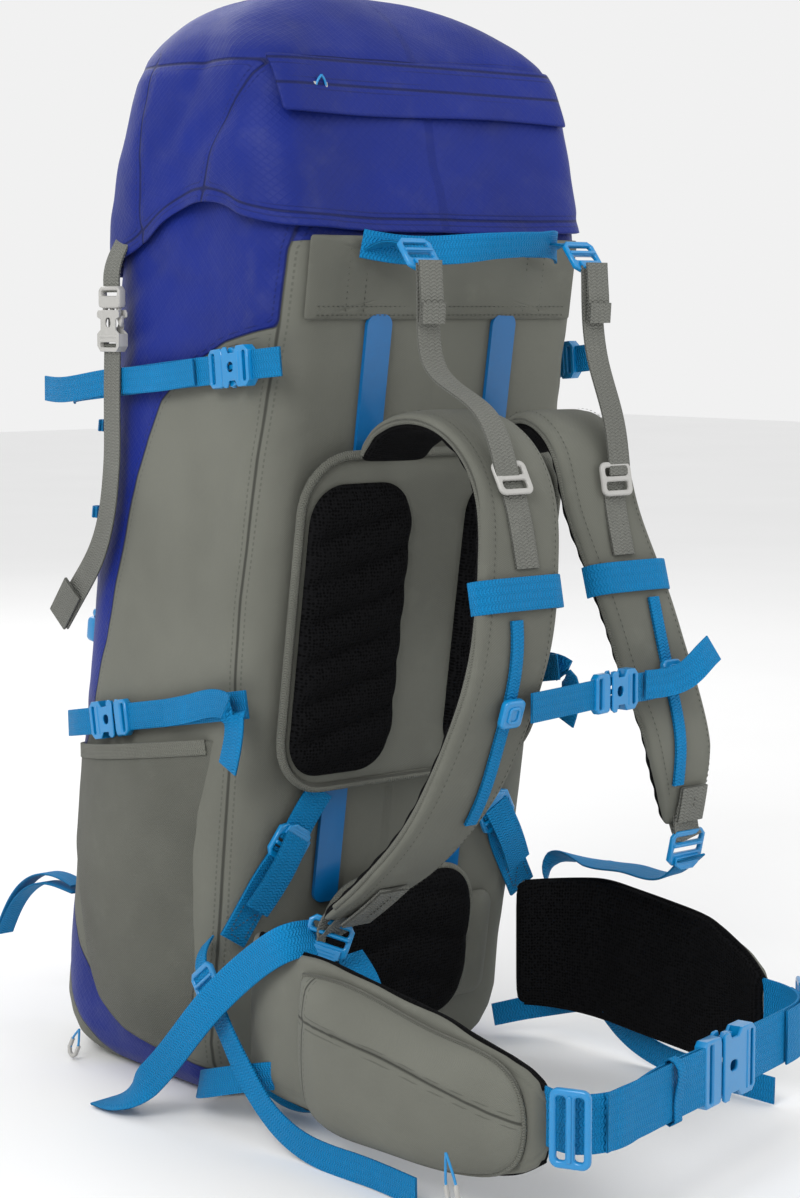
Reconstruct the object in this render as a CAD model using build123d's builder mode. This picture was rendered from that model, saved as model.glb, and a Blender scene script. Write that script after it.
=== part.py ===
"""Trekking backpack of about 60 litres, standing on its base.

Millimetres, +Z up.  The origin is the centre of the flat base.  The harness, which
faces the wearer, is on the -Y side, and the wearer's right is -X.
"""
import os
from math import sqrt

from build123d import *

os.makedirs("parts", exist_ok=True)

# --- driving dimensions -------------------------------------------------------
BACK_Y = -125.0            # back panel's outer face at the floor
LEAN = 0.152               # the back panel leans towards the wearer by this slope
DEPTH = 253.0              # back face to front face
HALF_WIDTH = 146.0
WALL = 3.5                 # fabric with its padding
BODY_TOP = 650.0
BASE_SEAM = 40.0
COLLAR_TOP = 676.0
SHOULDER_Z = 612.0         # above this the bag draws in under the lid
GAP = 0.4                  # between pieces of different bodies
WEB = 1.8                  # thickness of webbing
WEB_NARROW, WEB_MID, WEB_BELT = 20.0, 25.0, 38.0
STEP_UP = sqrt(1 + LEAN * LEAN)       # length along the back panel per unit of height
SIDES = ((-1, "right"), (1, "left"))

BACK = Plane(origin=(0, BACK_Y, 0), x_dir=(1, 0, 0), z_dir=(0, -1, -LEAN))


def back_y(z):
    """Y of the back panel's outer face at height z."""
    return BACK_Y - LEAN * z


def save(piece, name):
    """Label a finished sub-part and write it to its own file."""
    piece.part.label = name
    export_step(piece.part, f"parts/{name}.step")


# --- generators for what repeats ----------------------------------------------
def stack(sections, inset=0.0):
    """Loft of rounded rectangles: (z, half width, back y, front y, back r, front r)."""
    with BuildPart() as solid:
        for z, half, back, front, back_r, front_r in sections:
            deep = front - back - 2 * inset
            with BuildSketch(Plane.XY.offset(z)) as level:
                with Locations((0, (front + back) / 2)):
                    Rectangle(2 * (half - inset), deep)
                ends = level.vertices().group_by(Axis.Y)
                fillet(ends[0], back_r - inset)
                fillet(level.vertices().group_by(Axis.Y)[-1], front_r - inset)
        loft(ruled=True)
    return solid


def slab(profile, reach=400.0):
    """A prism across the pack with the given (y, z) profile."""
    with BuildPart() as solid:
        with BuildSketch(Plane.YZ):
            Polygon(*profile, align=None)
        extrude(amount=reach, both=True)
    return solid


def heading_plane(start, end):
    """Upright plane through two (x, y) points: local X runs along, local Y is up."""
    along = (Vector(*end, 0) - Vector(*start, 0)).normalized()
    return Plane(origin=(*start, 0), x_dir=along, z_dir=along.cross(Vector(0, 0, 1)))


def shifted(points, offset, first=0.0, last=1.0, steps=8):
    """Points along part of the smooth line through points, moved to its right by offset."""
    path = Spline(*points, mode=Mode.PRIVATE) if len(points) > 2 else Line(*points, mode=Mode.PRIVATE)
    moved = []
    for step in range(steps + 1):
        at = first + (last - first) * step / steps
        here, along = path @ at, path % at
        moved.append((here.X + along.Y * offset, here.Y - along.X * offset))
    return moved


def ribbon(plane, points, width, thickness=WEB, steps=10):
    """Flat webbing that follows points in a plane and is width wide across it."""
    with BuildPart() as piece:
        with BuildSketch(plane):
            with BuildLine():
                left = Spline(*shifted(points, -thickness / 2, steps=steps))
                right = Spline(*shifted(points, thickness / 2, steps=steps))
                Line(left @ 0, right @ 0)
                Line(left @ 1, right @ 1)
            make_face()
        extrude(amount=width / 2, both=True)
    return piece


def flat(plane, length, width, thickness, radius=0.0):
    """Flat plate centred on a plane's origin, its thickness along the normal."""
    with BuildPart() as piece:
        with BuildSketch(plane.offset(-thickness / 2)):
            if radius:
                RectangleRounded(length, width, radius)
            else:
                Rectangle(length, width)
        extrude(amount=thickness)
    return piece


SOCKET, PLATE, PRONG = 30.0, 16.0, 13.0        # lengths of a 20 mm side-release buckle
MOUTH = 2.0                                    # from the plug's shoulder to the socket


def buckle_socket(plane, webbing, scale=1.0):
    """Socket half, its mouth near the origin facing local +X, open at both sides."""
    wide, long, high = webbing + 8, SOCKET * scale, 8.4 * scale
    deep, slot = (PRONG + 3) * scale, 5.2 * scale
    with BuildPart() as half:
        with BuildSketch(plane.offset(-high / 2)):
            with Locations((-long / 2 - MOUTH, 0)):
                RectangleRounded(long, wide, 4)
            with Locations((-long + 3, 0)):
                Rectangle(3.6, webbing, mode=Mode.SUBTRACT)
        extrude(amount=high)
        with BuildSketch(plane.offset(-slot / 2)):
            with Locations((-deep / 2 - MOUTH, 0)):
                Rectangle(deep, wide + 4)
        extrude(amount=slot, mode=Mode.SUBTRACT)
    return half


def buckle_plug(plane, webbing, scale=1.0):
    """Plug half: its prongs reach into the socket from the plate in front of it."""
    wide, long, reach = webbing + 8, PLATE * scale, PRONG * scale
    with BuildPart() as half:
        with BuildSketch(plane.offset(-3.4 * scale)):
            with Locations((long / 2 - 1, 0)):
                RectangleRounded(long, wide - 1, 3)
            with Locations((long / 2 + 2, 0)):
                Rectangle(3.6, webbing, mode=Mode.SUBTRACT)
        extrude(amount=6.8 * scale)
        with BuildSketch(plane.offset(-1.4 * scale)):
            with Locations((-reach / 2, wide / 2 - 3.5), (-reach / 2, 3.5 - wide / 2)):
                RectangleRounded(reach + 4, 6, 2)
            with Locations((-reach / 2 + 2, 0)):
                Rectangle(reach, 4)
        extrude(amount=2.8 * scale)
    return half


def ladder_lock(plane, webbing):
    """Ladder-lock: a frame with two slots and a raised thumb tab at local +X."""
    wide = webbing + 8
    with BuildPart() as lock:
        with BuildSketch(plane.offset(-2)):
            RectangleRounded(26, wide, 5)
            with Locations((-6.5, 0), (1.5, 0)):
                Rectangle(4.5, webbing + 1, mode=Mode.SUBTRACT)
        extrude(amount=4)
        with BuildSketch(plane.offset(2)):
            with Locations((9, 0)):
                RectangleRounded(7, webbing - 2, 3)
        extrude(amount=2.5)
    return lock


def tri_glide(plane, webbing):
    """Flat slider with two slots and a bar between them."""
    with BuildPart() as glide:
        with BuildSketch(plane.offset(-1.6)):
            RectangleRounded(24, webbing + 9, 5)
            with Locations((-5, 0), (5, 0)):
                Rectangle(5, webbing + 1, mode=Mode.SUBTRACT)
        extrude(amount=3.2)
    return glide


def group(pieces):
    """Several separate solids of one kind, kept as one sub-part."""
    with BuildPart() as together:
        for piece in pieces:
            add(piece.part)
    return together


def outline_slab(top, bottom, reach=400.0):
    """Prism across the pack between two smooth (y, z) lines with matching ends."""
    with BuildPart() as solid:
        with BuildSketch(Plane.YZ):
            with BuildLine():
                upper, lower = Spline(*top), Spline(*bottom)
                Line(upper @ 0, lower @ 0)
                Line(upper @ 1, lower @ 1)
            make_face()
        extrude(amount=reach, both=True)
    return solid


# --- the bag: a shell cut into the panels it is sewn from ----------------------
def bag_level(z, half=HALF_WIDTH, back_in=0.0, front_in=0.0, front_r=88.0, back_r=34.0):
    """One section of the bag at height z."""
    back = back_y(z) + back_in
    return z, half, back, back_y(z) + DEPTH - front_in, back_r, front_r


OUTER = (
    bag_level(0, 118, 12, 32, 70, 30),
    bag_level(14, 137, 4, 12, 80, 33),
    bag_level(45),
    bag_level(330, HALF_WIDTH + 1),
    bag_level(SHOULDER_Z, HALF_WIDTH - 2),
    bag_level(BODY_TOP, HALF_WIDTH - 5, 16, 12),
)
INNER = (
    bag_level(WALL, 121, 11, 28, 70, 30),
    bag_level(16, 136, 4, 13, 80, 33),
    bag_level(46),
    bag_level(330, HALF_WIDTH + 1),
    bag_level(SHOULDER_Z, HALF_WIDTH - 2),
    bag_level(BODY_TOP, HALF_WIDTH - 5, 16, 12),
)
BACK_SEAM, FRONT_SEAM = 42.0, DEPTH - 78.0     # from the back face, along Y
TALL = BODY_TOP + 5


def leaning(near, far):
    """(y, z) profile between two distances from the back face, above the base seam."""
    return (
        (back_y(BASE_SEAM) + near, BASE_SEAM),
        (back_y(BASE_SEAM) + far, BASE_SEAM),
        (back_y(TALL) + far, TALL),
        (back_y(TALL) + near, TALL),
    )


with BuildPart() as shell:
    add(stack(OUTER).part)
    add(stack(INNER, WALL).part, mode=Mode.SUBTRACT)

with BuildPart() as base_panel:
    add(shell.part)
    add(slab(((-300, -5), (300, -5), (300, BASE_SEAM), (-300, BASE_SEAM))).part, mode=Mode.INTERSECT)
save(base_panel, "base_panel")

with BuildPart() as back_panel:
    add(shell.part)
    add(slab(leaning(-60, BACK_SEAM)).part, mode=Mode.INTERSECT)
save(back_panel, "back_panel")

with BuildPart() as front_panel:
    add(shell.part)
    add(slab(leaning(FRONT_SEAM, DEPTH + 60)).part, mode=Mode.INTERSECT)
save(front_panel, "front_panel")

for side, name in SIDES:
    with BuildPart() as side_panel:
        add(shell.part)
        add(slab(leaning(BACK_SEAM, FRONT_SEAM)).part, mode=Mode.INTERSECT)
        with Locations((side * 200, 0, 300)):
            Box(400, 900, 900, mode=Mode.INTERSECT)
    save(side_panel, f"side_panel_{name}")

COLLAR_LEVELS = (
    bag_level(BODY_TOP, HALF_WIDTH - 6, 17, 13),
    bag_level(COLLAR_TOP, HALF_WIDTH - 14, 30, 26),
)
COLLAR_WALL = 2.0
with BuildPart() as collar:
    add(stack(COLLAR_LEVELS).part)
    add(stack(COLLAR_LEVELS, COLLAR_WALL).part, mode=Mode.SUBTRACT)
save(collar, "collar")

# --- frame: sheet inside the back panel, two stays outside it -------------------
with BuildPart() as frame_sheet:
    with BuildSketch(BACK.offset(-WALL - 2.5)):
        with Locations((0, 335 * STEP_UP)):
            RectangleRounded(200, 510, 20)
    extrude(amount=2)
save(frame_sheet, "frame_sheet")

STAY_X, STAY_WIDE = 58.0, 22.0
with BuildPart() as frame_stays:
    with BuildSketch(BACK.offset(0.3)):
        with Locations((-STAY_X, 357 * STEP_UP), (STAY_X, 357 * STEP_UP)):
            RectangleRounded(STAY_WIDE, 430, 8)
    extrude(amount=3)
save(frame_stays, "frame_stays")

# --- back top band; haul loop and the load lifters' anchors are one run of webbing --
BAND_LOW, BAND_HIGH, BAND_OUT = 578.0, 621.0, 6.0
with BuildPart() as top_band:
    with BuildSketch(BACK):
        with Locations((0, (BAND_LOW + BAND_HIGH) / 2 * STEP_UP)):
            RectangleRounded(216, (BAND_HIGH - BAND_LOW) * STEP_UP, 4)
    extrude(amount=BAND_OUT)
save(top_band, "top_band")

HAUL_Y, HAUL_Z, HAUL_HALF = -254.0, 614.0, 50.0
LIFT_X, LIFT_Y, LIFT_Z = 76.0, -284.0, 609.0
BAND_FACE = back_y(HAUL_Z - WEB_NARROW / 2) - BAND_OUT * STEP_UP - 0.3
HAUL_ROUTE = (
    (-HAUL_HALF - 10, BAND_FACE - 3.5), (-HAUL_HALF, HAUL_Y), (0, HAUL_Y - 3),
    (HAUL_HALF, HAUL_Y), (HAUL_HALF + 10, BAND_FACE - 3.5),
)
lifter_planes = [Plane.YZ.offset(side * LIFT_X) for side, _ in SIDES]
anchor_route = ((BAND_FACE - 1.2, LIFT_Z + 1), (LIFT_Y + 15, LIFT_Z))
save(
    group(
        [ribbon(Plane.XY.offset(HAUL_Z), HAUL_ROUTE, WEB_NARROW, 2 * WEB)]
        + [ribbon(plane, anchor_route, WEB_NARROW) for plane in lifter_planes]
    ),
    "haul_loop",
)

# --- lumbar pad and the core that joins the hip belt's wings --------------------
CORE_OUT, PAD_OUT = 16.0, 35.0
with BuildPart() as belt_core:
    with BuildSketch(BACK.offset(0.3)):
        with Locations((0, 90 * STEP_UP)):
            RectangleRounded(214, 84, 12)
    extrude(amount=CORE_OUT)
save(belt_core, "belt_core")

with BuildPart() as lumbar_pad:
    with BuildSketch(BACK.offset(CORE_OUT + 0.4)):
        with Locations((0, 104 * STEP_UP)):
            RectangleRounded(140, 120, 34)
    extrude(amount=PAD_OUT - CORE_OUT)
save(lumbar_pad, "lumbar_pad")

# --- adjustable back pad --------------------------------------------------------
PAD_LOW, PAD_HIGH, PAD_HALF = 236.0, 474.0, 120.0
PAD_MID = (PAD_LOW + PAD_HIGH) / 2 * STEP_UP
PAD_TALL = (PAD_HIGH - PAD_LOW) * STEP_UP
BOARD_IN, BOARD_OUT, QUILT_OUT = 9.0, 18.0, 29.0
with BuildPart() as yoke_panel:
    with BuildSketch(BACK.offset(BOARD_IN)):
        with Locations((0, PAD_MID)):
            RectangleRounded(2 * PAD_HALF, PAD_TALL, 40)
    extrude(amount=BOARD_OUT - BOARD_IN)
save(yoke_panel, "yoke_panel")

with BuildPart() as quilt_pads:
    with BuildSketch(BACK.offset(BOARD_OUT)):
        with Locations((-72, PAD_MID - 8), (72, PAD_MID - 8)):
            RectangleRounded(88, PAD_TALL - 34, 30)
    extrude(amount=QUILT_OUT - BOARD_OUT)
save(quilt_pads, "quilt_pads")


# --- torso-length straps: sewn tab, webbing up to the back pad; all ladder-locks ---
def on_back(x, z, out, turn):
    """Plane on the back panel; local X climbs and leans sideways by turn (dx per dz)."""
    return Plane(origin=(x, back_y(z) - out * STEP_UP, z), x_dir=(turn, -LEAN, 1), z_dir=(0, -1, -LEAN))


SIDE_X = HALF_WIDTH + 5.8          # plane of the webbing on the bag's sides
STABILISER = (-152.0, 101.0)       # (y, z) of the stabiliser strap's ladder-lock
STABILISER_OUT = {"right": 14.0, "left": 22.0}      # beyond the webbing on the sides
torso_pieces, lock_pieces = [], []
for side, name in SIDES:
    inward = -side * 0.62
    torso_pieces.append(flat(on_back(side * 126, 149, 2.5, inward), 50, WEB_MID, 3, 1))
    torso_pieces.append(flat(on_back(side * 85.5, 217, 7, inward), 20, WEB_MID, WEB))
    lock_pieces.append(ladder_lock(on_back(side * 99, 194, 6.5, inward), WEB_MID))
    lifter_plane = Plane(origin=(side * LIFT_X, LIFT_Y, LIFT_Z), x_dir=(0, -1, -0.12), z_dir=(0, -0.12, 1))
    lock_pieces.append(ladder_lock(lifter_plane, WEB_NARROW))
    stabiliser_plane = Plane(
        origin=(side * (SIDE_X + STABILISER_OUT[name]), *STABILISER), x_dir=(0, -0.6, -0.8), z_dir=(side, 0, 0)
    )
    lock_pieces.append(ladder_lock(stabiliser_plane, WEB_NARROW))
save(group(torso_pieces), "torso_straps")
save(group(lock_pieces), "ladder_locks")

# --- shoulder straps ------------------------------------------------------------
STRAP_THICK, STRAP_HALF = 14.0, 33.0
STRAP_SIDE = {      # (y, z) down the middle of each strap, seen from the side
    "right": (
        (-227, 469), (-245, 487), (-278, 498), (-314, 493), (-349, 467), (-371, 410),
        (-379, 354), (-366, 304), (-343, 251), (-303, 202), (-246, 160),
    ),
    "left": (
        (-227, 469), (-243, 486), (-268, 495), (-292, 482), (-306, 439), (-320, 385),
        (-340, 317), (-352, 272), (-350, 240), (-344, 212),
    ),
}
STRAP_FRONT = {     # (distance from the middle plane, z) of the same line, seen from the front
    "right": ((56, 520), (64, 440), (86, 360), (92, 300), (106, 230), (128, 140)),
    "left": ((56, 520), (64, 440), (84, 360), (92, 300), (104, 240), (114, 195)),
}


def strap_frame(name, at):
    """Point, direction and outward normal on the strap's side curve, all as (y, z)."""
    path = Spline(*STRAP_SIDE[name], mode=Mode.PRIVATE)
    here, along = path @ at, path % at
    return (here.X, here.Y), (along.X, along.Y), (along.Y, -along.X)


def at_height(name, z):
    """Fraction of the strap's length, past its top, where its middle is at height z."""
    low, high = 0.3, 1.0
    for _ in range(30):
        middle = (low + high) / 2
        if strap_frame(name, middle)[0][1] > z:
            low = middle
        else:
            high = middle
    return low


def beside(name, offset, first, last):
    """Points along part of a shoulder strap, offset outwards from its middle."""
    return shifted(STRAP_SIDE[name], offset, first, last, 6)


def on_strap(name, side, across, at, offset):
    """Plane on the strap's outer face; local X runs down the strap."""
    here, along, out = strap_frame(name, at)
    return Plane(
        origin=(side * across, here[0] + out[0] * offset, here[1] + out[1] * offset),
        x_dir=(0, *along),
        z_dir=(0, *out),
    )


STRAP_FACE = STRAP_THICK / 2
TRIM = STRAP_FACE + 0.3 + WEB / 2           # middle of webbing sewn flat on the strap
STRAP_PLACES = {    # heights on the strap, each with its distance from the middle plane
    "right": {"ladder": (486, 404, 72), "glide": 462, "band": (389, 80), "rail": (374, 240, 88),
              "tab": (192, 165, 118), "lock": 126},
    "left": {"ladder": (478, 400, 72), "glide": 452, "band": (385, 82), "rail": (370, 242, 92),
             "tab": (238, 216, 108), "lock": 112},
}
sewn, glides, bands, locks = [], [], [], []
for side, name in SIDES:
    with BuildPart() as strap:
        add(ribbon(Plane.YZ.offset(side * 90), STRAP_SIDE[name], 140, STRAP_THICK, 18).part)
        with BuildSketch(Plane.XZ):
            with BuildLine():
                inner = Spline(*[(side * (x - STRAP_HALF), z) for x, z in STRAP_FRONT[name]])
                outer = Spline(*[(side * (x + STRAP_HALF), z) for x, z in STRAP_FRONT[name]])
                Line(inner @ 0, outer @ 0)
                Line(inner @ 1, outer @ 1)
            make_face()
        extrude(amount=450, mode=Mode.INTERSECT)
    save(strap, f"shoulder_strap_{name}")

    place = STRAP_PLACES[name]
    high, low, across = place["ladder"]
    run = beside(name, TRIM, at_height(name, high), at_height(name, low))
    sewn.append(ribbon(Plane.YZ.offset(side * across), run, WEB_NARROW))
    glide_at = at_height(name, place["glide"])
    glides.append(tri_glide(on_strap(name, side, across, glide_at, STRAP_FACE + 4.6), WEB_NARROW))
    height, across = place["band"]
    bands.append(flat(on_strap(name, side, across, at_height(name, height), TRIM + 3), 22, 66, 1.6, 1))
    high, low, across = place["rail"]
    run = beside(name, TRIM, at_height(name, high), at_height(name, low))
    bands.append(ribbon(Plane.YZ.offset(side * across), run, 10))
    high, low, across = place["tab"]
    run = beside(name, TRIM + WEB / 2, at_height(name, high), at_height(name, low))
    sewn.append(ribbon(Plane.YZ.offset(side * across), run, WEB_MID, 2 * WEB))
    here, along, out = strap_frame(name, 1.0)
    lock_at = [here[n] + along[n] * 17 + out[n] * 8 for n in (0, 1)]
    lock_plane = Plane(origin=(side * place["lock"], *lock_at), x_dir=(0, *along), z_dir=(0, *out))
    locks.append(ladder_lock(lock_plane, WEB_MID))
save(group(sewn), "strap_webbing")
save(group(glides), "strap_glides")
save(group(bands), "strap_bands")
save(group(locks), "strap_locks")

lifters = []
for (side, name), plane in zip(SIDES, lifter_planes):
    foot = beside(name, STRAP_FACE + 2.4, 0.20, 0.22)[0]
    route = (
        (LIFT_Y - 1, LIFT_Z - 6), (LIFT_Y + 6, LIFT_Z - 34),
        ((LIFT_Y + 6 + foot[0]) / 2 + 1, 542), (foot[0] - 1, foot[1] + 3),
    )
    lifters.append(ribbon(plane, route, WEB_NARROW))
save(group(lifters), "lifter_webbing")

# --- sternum strap: a slider on each rail, webbing, side-release buckle -----------
STERNUM_Z = 316.0
for side, name in SIDES:
    across = STRAP_PLACES[name]["rail"][2]
    plane = on_strap(name, side, across, at_height(name, STERNUM_Z), TRIM + 4.6)
    save(flat(plane, 20, 18, 5.5, 4), f"sternum_slider_{name}")

STERNUM_START, STERNUM_END = Vector(-76, -386), Vector(74, -358)
STERNUM_RUN = (STERNUM_END - STERNUM_START).normalized()
STERNUM_MOUTH = STERNUM_START + STERNUM_RUN * 88
sternum_plane = Plane(
    origin=(STERNUM_MOUTH.X, STERNUM_MOUTH.Y, STERNUM_Z),
    x_dir=(-STERNUM_RUN.X, -STERNUM_RUN.Y, 0),
    z_dir=(STERNUM_RUN.Y, -STERNUM_RUN.X, 0),
)
save(buckle_socket(sternum_plane, WEB_NARROW), "sternum_socket")
save(buckle_plug(sternum_plane, WEB_NARROW), "sternum_plug")
plug_end = STERNUM_MOUTH - STERNUM_RUN * (PLATE - 0.5)
socket_end = STERNUM_MOUTH + STERNUM_RUN * (SOCKET + MOUTH + 0.5)
save(
    group(
        ribbon(Plane.XY.offset(STERNUM_Z), ((near.X, near.Y), (far.X, far.Y)), WEB_NARROW)
        for near, far in ((STERNUM_START, plug_end), (socket_end, STERNUM_END))
    ),
    "sternum_webbing",
)

# --- hip belt: fixed roots, hinged wings with pockets, webbing and its buckle ------
WING_THICK, FOLD_Y = 16.0, -246.0          # each wing folds at FOLD_Y
WING = {
    "right": {
        "root": ((-121, -161), (-136, -177), (-148, -208), (-151, FOLD_Y + 0.6)),
        "wing": ((-151, FOLD_Y - 0.6), (-152, -300), (-150, -400), (-143, -478)),
        "top": ((-140, 132), (-200, 137), (-270, 139), (-380, 127), (-490, 101)),
        "bottom": ((-140, 36), (-264, 31), (-398, 25), (-490, 46)),
        "pocket_top": ((-257, 132), (-300, 131), (-400, 117), (-468, 98)),
        "pocket_bottom": ((-257, 40), (-330, 27), (-420, 31), (-468, 48)),
        "pocket_x": 23.5,
    },
    "left": {
        "root": ((121, -161), (138, -178), (154, -212), (158, FOLD_Y + 0.6)),
        "wing": ((158, FOLD_Y - 0.6), (160, -290), (159, -340), (154, -388)),
        "top": ((-140, 132), (-223, 142), (-327, 131), (-400, 100)),
        "bottom": ((-140, 42), (-267, 30), (-330, 26), (-400, 60)),
        "pocket_top": ((-262, 124), (-300, 124), (-345, 115), (-376, 101)),
        "pocket_bottom": ((-262, 40), (-300, 34), (-345, 38), (-376, 56)),
        "pocket_x": 18.0,
    },
}
BELT_Z = 80.0
roots = []
for side, name in SIDES:
    wing = WING[name]
    cut = outline_slab(wing["top"], wing["bottom"])
    for part_name in ("root", "wing"):
        with BuildPart() as shaped:
            add(ribbon(Plane.XY.offset(BELT_Z), wing[part_name], 200, WING_THICK).part)
            add(cut.part, mode=Mode.INTERSECT)
        if part_name == "root":
            roots.append(shaped)
    save(shaped, f"belt_wing_{name}")

    deep = wing["pocket_x"]
    out_line = shifted(wing["wing"], -side * (WING_THICK / 2 + 0.4 + deep / 2))
    with BuildPart() as pocket:
        add(ribbon(Plane.XY.offset(BELT_Z), out_line, 200, deep).part)
        add(outline_slab(wing["pocket_top"], wing["pocket_bottom"]).part, mode=Mode.INTERSECT)
    save(pocket, f"belt_pocket_{name}")
save(group(roots), "belt_wing_roots")


def belt_plane(point, run):
    """Plane of a belt buckle at an (x, y) point; local X faces back along the run."""
    return Plane(
        origin=(point.X, point.Y, BELT_Z), x_dir=(-run.X, -run.Y, 0), z_dir=(run.Y, -run.X, 0)
    )


BUCKLE_SCALE = 1.4                           # 38 mm buckle against the 20 mm one
BELT_NEAR, BELT_FAR = Vector(-131, -511), Vector(119, -447)
BELT_RUN = (BELT_FAR - BELT_NEAR).normalized()
BELT_MOUTH = BELT_NEAR + BELT_RUN * 145
save(buckle_socket(belt_plane(BELT_MOUTH, BELT_RUN), WEB_BELT, BUCKLE_SCALE), "belt_socket")
save(buckle_plug(belt_plane(BELT_MOUTH, BELT_RUN), WEB_BELT, BUCKLE_SCALE), "belt_plug")
plug_end = BELT_MOUTH - BELT_RUN * (PLATE * BUCKLE_SCALE + 1)
socket_end = BELT_MOUTH + BELT_RUN * (SOCKET * BUCKLE_SCALE + MOUTH + 0.6)
BELT_ROUTE = {      # webbing seen from above, from each wing's tip to the buckle
    "right": ((-143, -484), (-142, -500), (-126, -509.5), (-80, -499), (plug_end.X, plug_end.Y)),
    "left": ((152.5, -394), (150, -412), (134, -437), (100, -452), (socket_end.X, socket_end.Y)),
}
BELT_SLIDER = {"right": (-150, -505, 0.5), "left": (158, -416, -0.9)}
for side, name in SIDES:
    webbing = ribbon(Plane.XY.offset(BELT_Z), BELT_ROUTE[name], WEB_BELT, 2 * WEB)
    x, y, turn = BELT_SLIDER[name]
    slider_plane = Plane(origin=(x, y, BELT_Z), x_dir=(turn, -1, 0), z_dir=(side, side * turn, 0))
    slider = tri_glide(slider_plane, WEB_BELT)
    save(group([webbing, slider]), f"belt_webbing_{name}")

PULL_AT = {"right": (-190.5, -440, 46), "left": (188.5, -350, 44)}
for side, name in SIDES:
    save(flat(Plane(origin=PULL_AT[name], x_dir=(0, 0, 1), z_dir=(side, 0, 0)), 26, 9, 3, 3),
         f"belt_zip_pull_{name}")


# --- webbing on the bag's sides -----------------------------------------------------
def on_side(side, out=0.0):
    """Upright plane beside the bag; its local axes are the pack's Y and Z."""
    return Plane.YZ.offset(side * (SIDE_X + out))


def side_buckle_plane(side, y, z, rise, facing, out=0.0):
    """Plane of a buckle on the bag's side: mouth at (y, z), local X towards facing."""
    return Plane(origin=(side * (SIDE_X + out), y, z), x_dir=(0, facing, facing * rise), z_dir=(side, 0, 0))


UPPER_RISE, LOWER_RISE = -0.096, -0.18       # slope of each compression strap towards the front


def upper_z(y):
    """Height of the upper compression strap at y."""
    return 517 + UPPER_RISE * y


def lower_z(y):
    """Height of the lower compression strap at y."""
    return 269 + LOWER_RISE * y


PLUG_REAR = PLATE - 0.4
UPPER_MOUTH, LOWER_MOUTH = -160.0, -24.0
sockets, webbing = [], []
for side, name in SIDES:
    plane = on_side(side)
    upper_plane = side_buckle_plane(side, UPPER_MOUTH, upper_z(UPPER_MOUTH), UPPER_RISE, 1)
    lower_plane = side_buckle_plane(side, LOWER_MOUTH, lower_z(LOWER_MOUTH), LOWER_RISE, -1)
    sockets += [buckle_socket(upper_plane, WEB_NARROW), buckle_socket(lower_plane, WEB_NARROW)]
    save(buckle_plug(upper_plane, WEB_NARROW), f"upper_plug_{name}")
    save(buckle_plug(lower_plane, WEB_NARROW), f"lower_plug_{name}")
    for start, end, height in (
        (UPPER_MOUTH - SOCKET - MOUTH - 13, UPPER_MOUTH - SOCKET - MOUTH - 0.6, upper_z),
        (UPPER_MOUTH + PLUG_REAR, 32, upper_z),
        (-172, LOWER_MOUTH - PLUG_REAR, lower_z),
        (LOWER_MOUTH + SOCKET + MOUTH + 0.6, 48, lower_z),
    ):
        webbing.append(ribbon(plane, ((start, height(start)), (end, height(end))), WEB, WEB_NARROW))
save(group(sockets), "compression_sockets")
save(group(webbing), "compression_webbing")

# --- lid: domed shell over a pocket floor, its strap plugs and the fixed sockets -----
LID_WALL = 3.0
LID = (     # (z, half width, back y, front y, back radius, front radius)
    (600, 150, -229, 65, 40, 88),
    (680, 155, -205, 42, 42, 86),
    (742, 139, -184, 12, 44, 80),
    (778, 108, -152, -18, 40, 60),
    (796, 66, -118, -46, 30, 32),
)
LID_INNER = (LID[0], LID[1], LID[2], LID[3], (792, 60, -114, -52, 30, 32))
with BuildPart() as lid_inside:
    add(stack(LID_INNER, LID_WALL).part)
LID_EDGE = ((-260, 626), (-196, 629), (-131, 648), (-54, 639), (30, 612), (100, 606))
with BuildPart() as lid_shell:
    add(stack(LID).part)
    add(lid_inside.part, mode=Mode.SUBTRACT)
    add(outline_slab(LID_EDGE, ((-260, 560), (-80, 560), (100, 560))).part, mode=Mode.SUBTRACT)
save(lid_shell, "lid_shell")

LID_FLOOR_Z, LID_FLOOR = 686.0, 2.0
with BuildPart() as lid_floor:
    add(lid_inside.part)
    with Locations((0, 0, LID_FLOOR_Z + LID_FLOOR / 2)):
        Box(800, 800, LID_FLOOR, mode=Mode.INTERSECT)
save(lid_floor, "lid_floor")

LID_BACK_RISE = (LID[2][2] - LID[1][2]) / (LID[2][0] - LID[1][0])
pull_z = 714.0
pull_y = LID[1][2] + LID_BACK_RISE * (pull_z - LID[1][0]) - 2.6
save(
    flat(Plane(origin=(-96, pull_y, pull_z), x_dir=(0, LID_BACK_RISE, 1), z_dir=(0, -1, LID_BACK_RISE)),
         20, 7, 2.6, 2),
    "lid_zip_pull",
)

LID_STRAP_Y, LID_STRAP_OUT, LID_MOUTH_Z = -30.0, 5.0, 574.0
sockets, plugs, upper_runs, lower_runs = [], [], [], []
for side, name in SIDES:
    plane = on_side(side, LID_STRAP_OUT)
    buckle = Plane(
        origin=(side * (SIDE_X + LID_STRAP_OUT), LID_STRAP_Y, LID_MOUTH_Z),
        x_dir=(0, 0, 1), z_dir=(side, 0, 0),
    )
    sockets.append(buckle_socket(buckle, WEB_NARROW))
    plugs.append(buckle_plug(buckle, WEB_NARROW))
    high = ((LID_STRAP_Y, LID_MOUTH_Z + PLUG_REAR), (LID_STRAP_Y, 642))
    low = ((-30, LID_MOUTH_Z - SOCKET - MOUTH - 0.6), (-30, 510), (-27, 462), (-10, 401), (45, 344))
    upper_runs.append(ribbon(plane, high, WEB, WEB_NARROW))
    lower_runs.append(ribbon(plane, low, WEB, WEB_NARROW))
save(group(sockets), "lid_sockets")
save(group(plugs), "lid_plugs")
save(group(upper_runs), "lid_strap_webbing")
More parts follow.
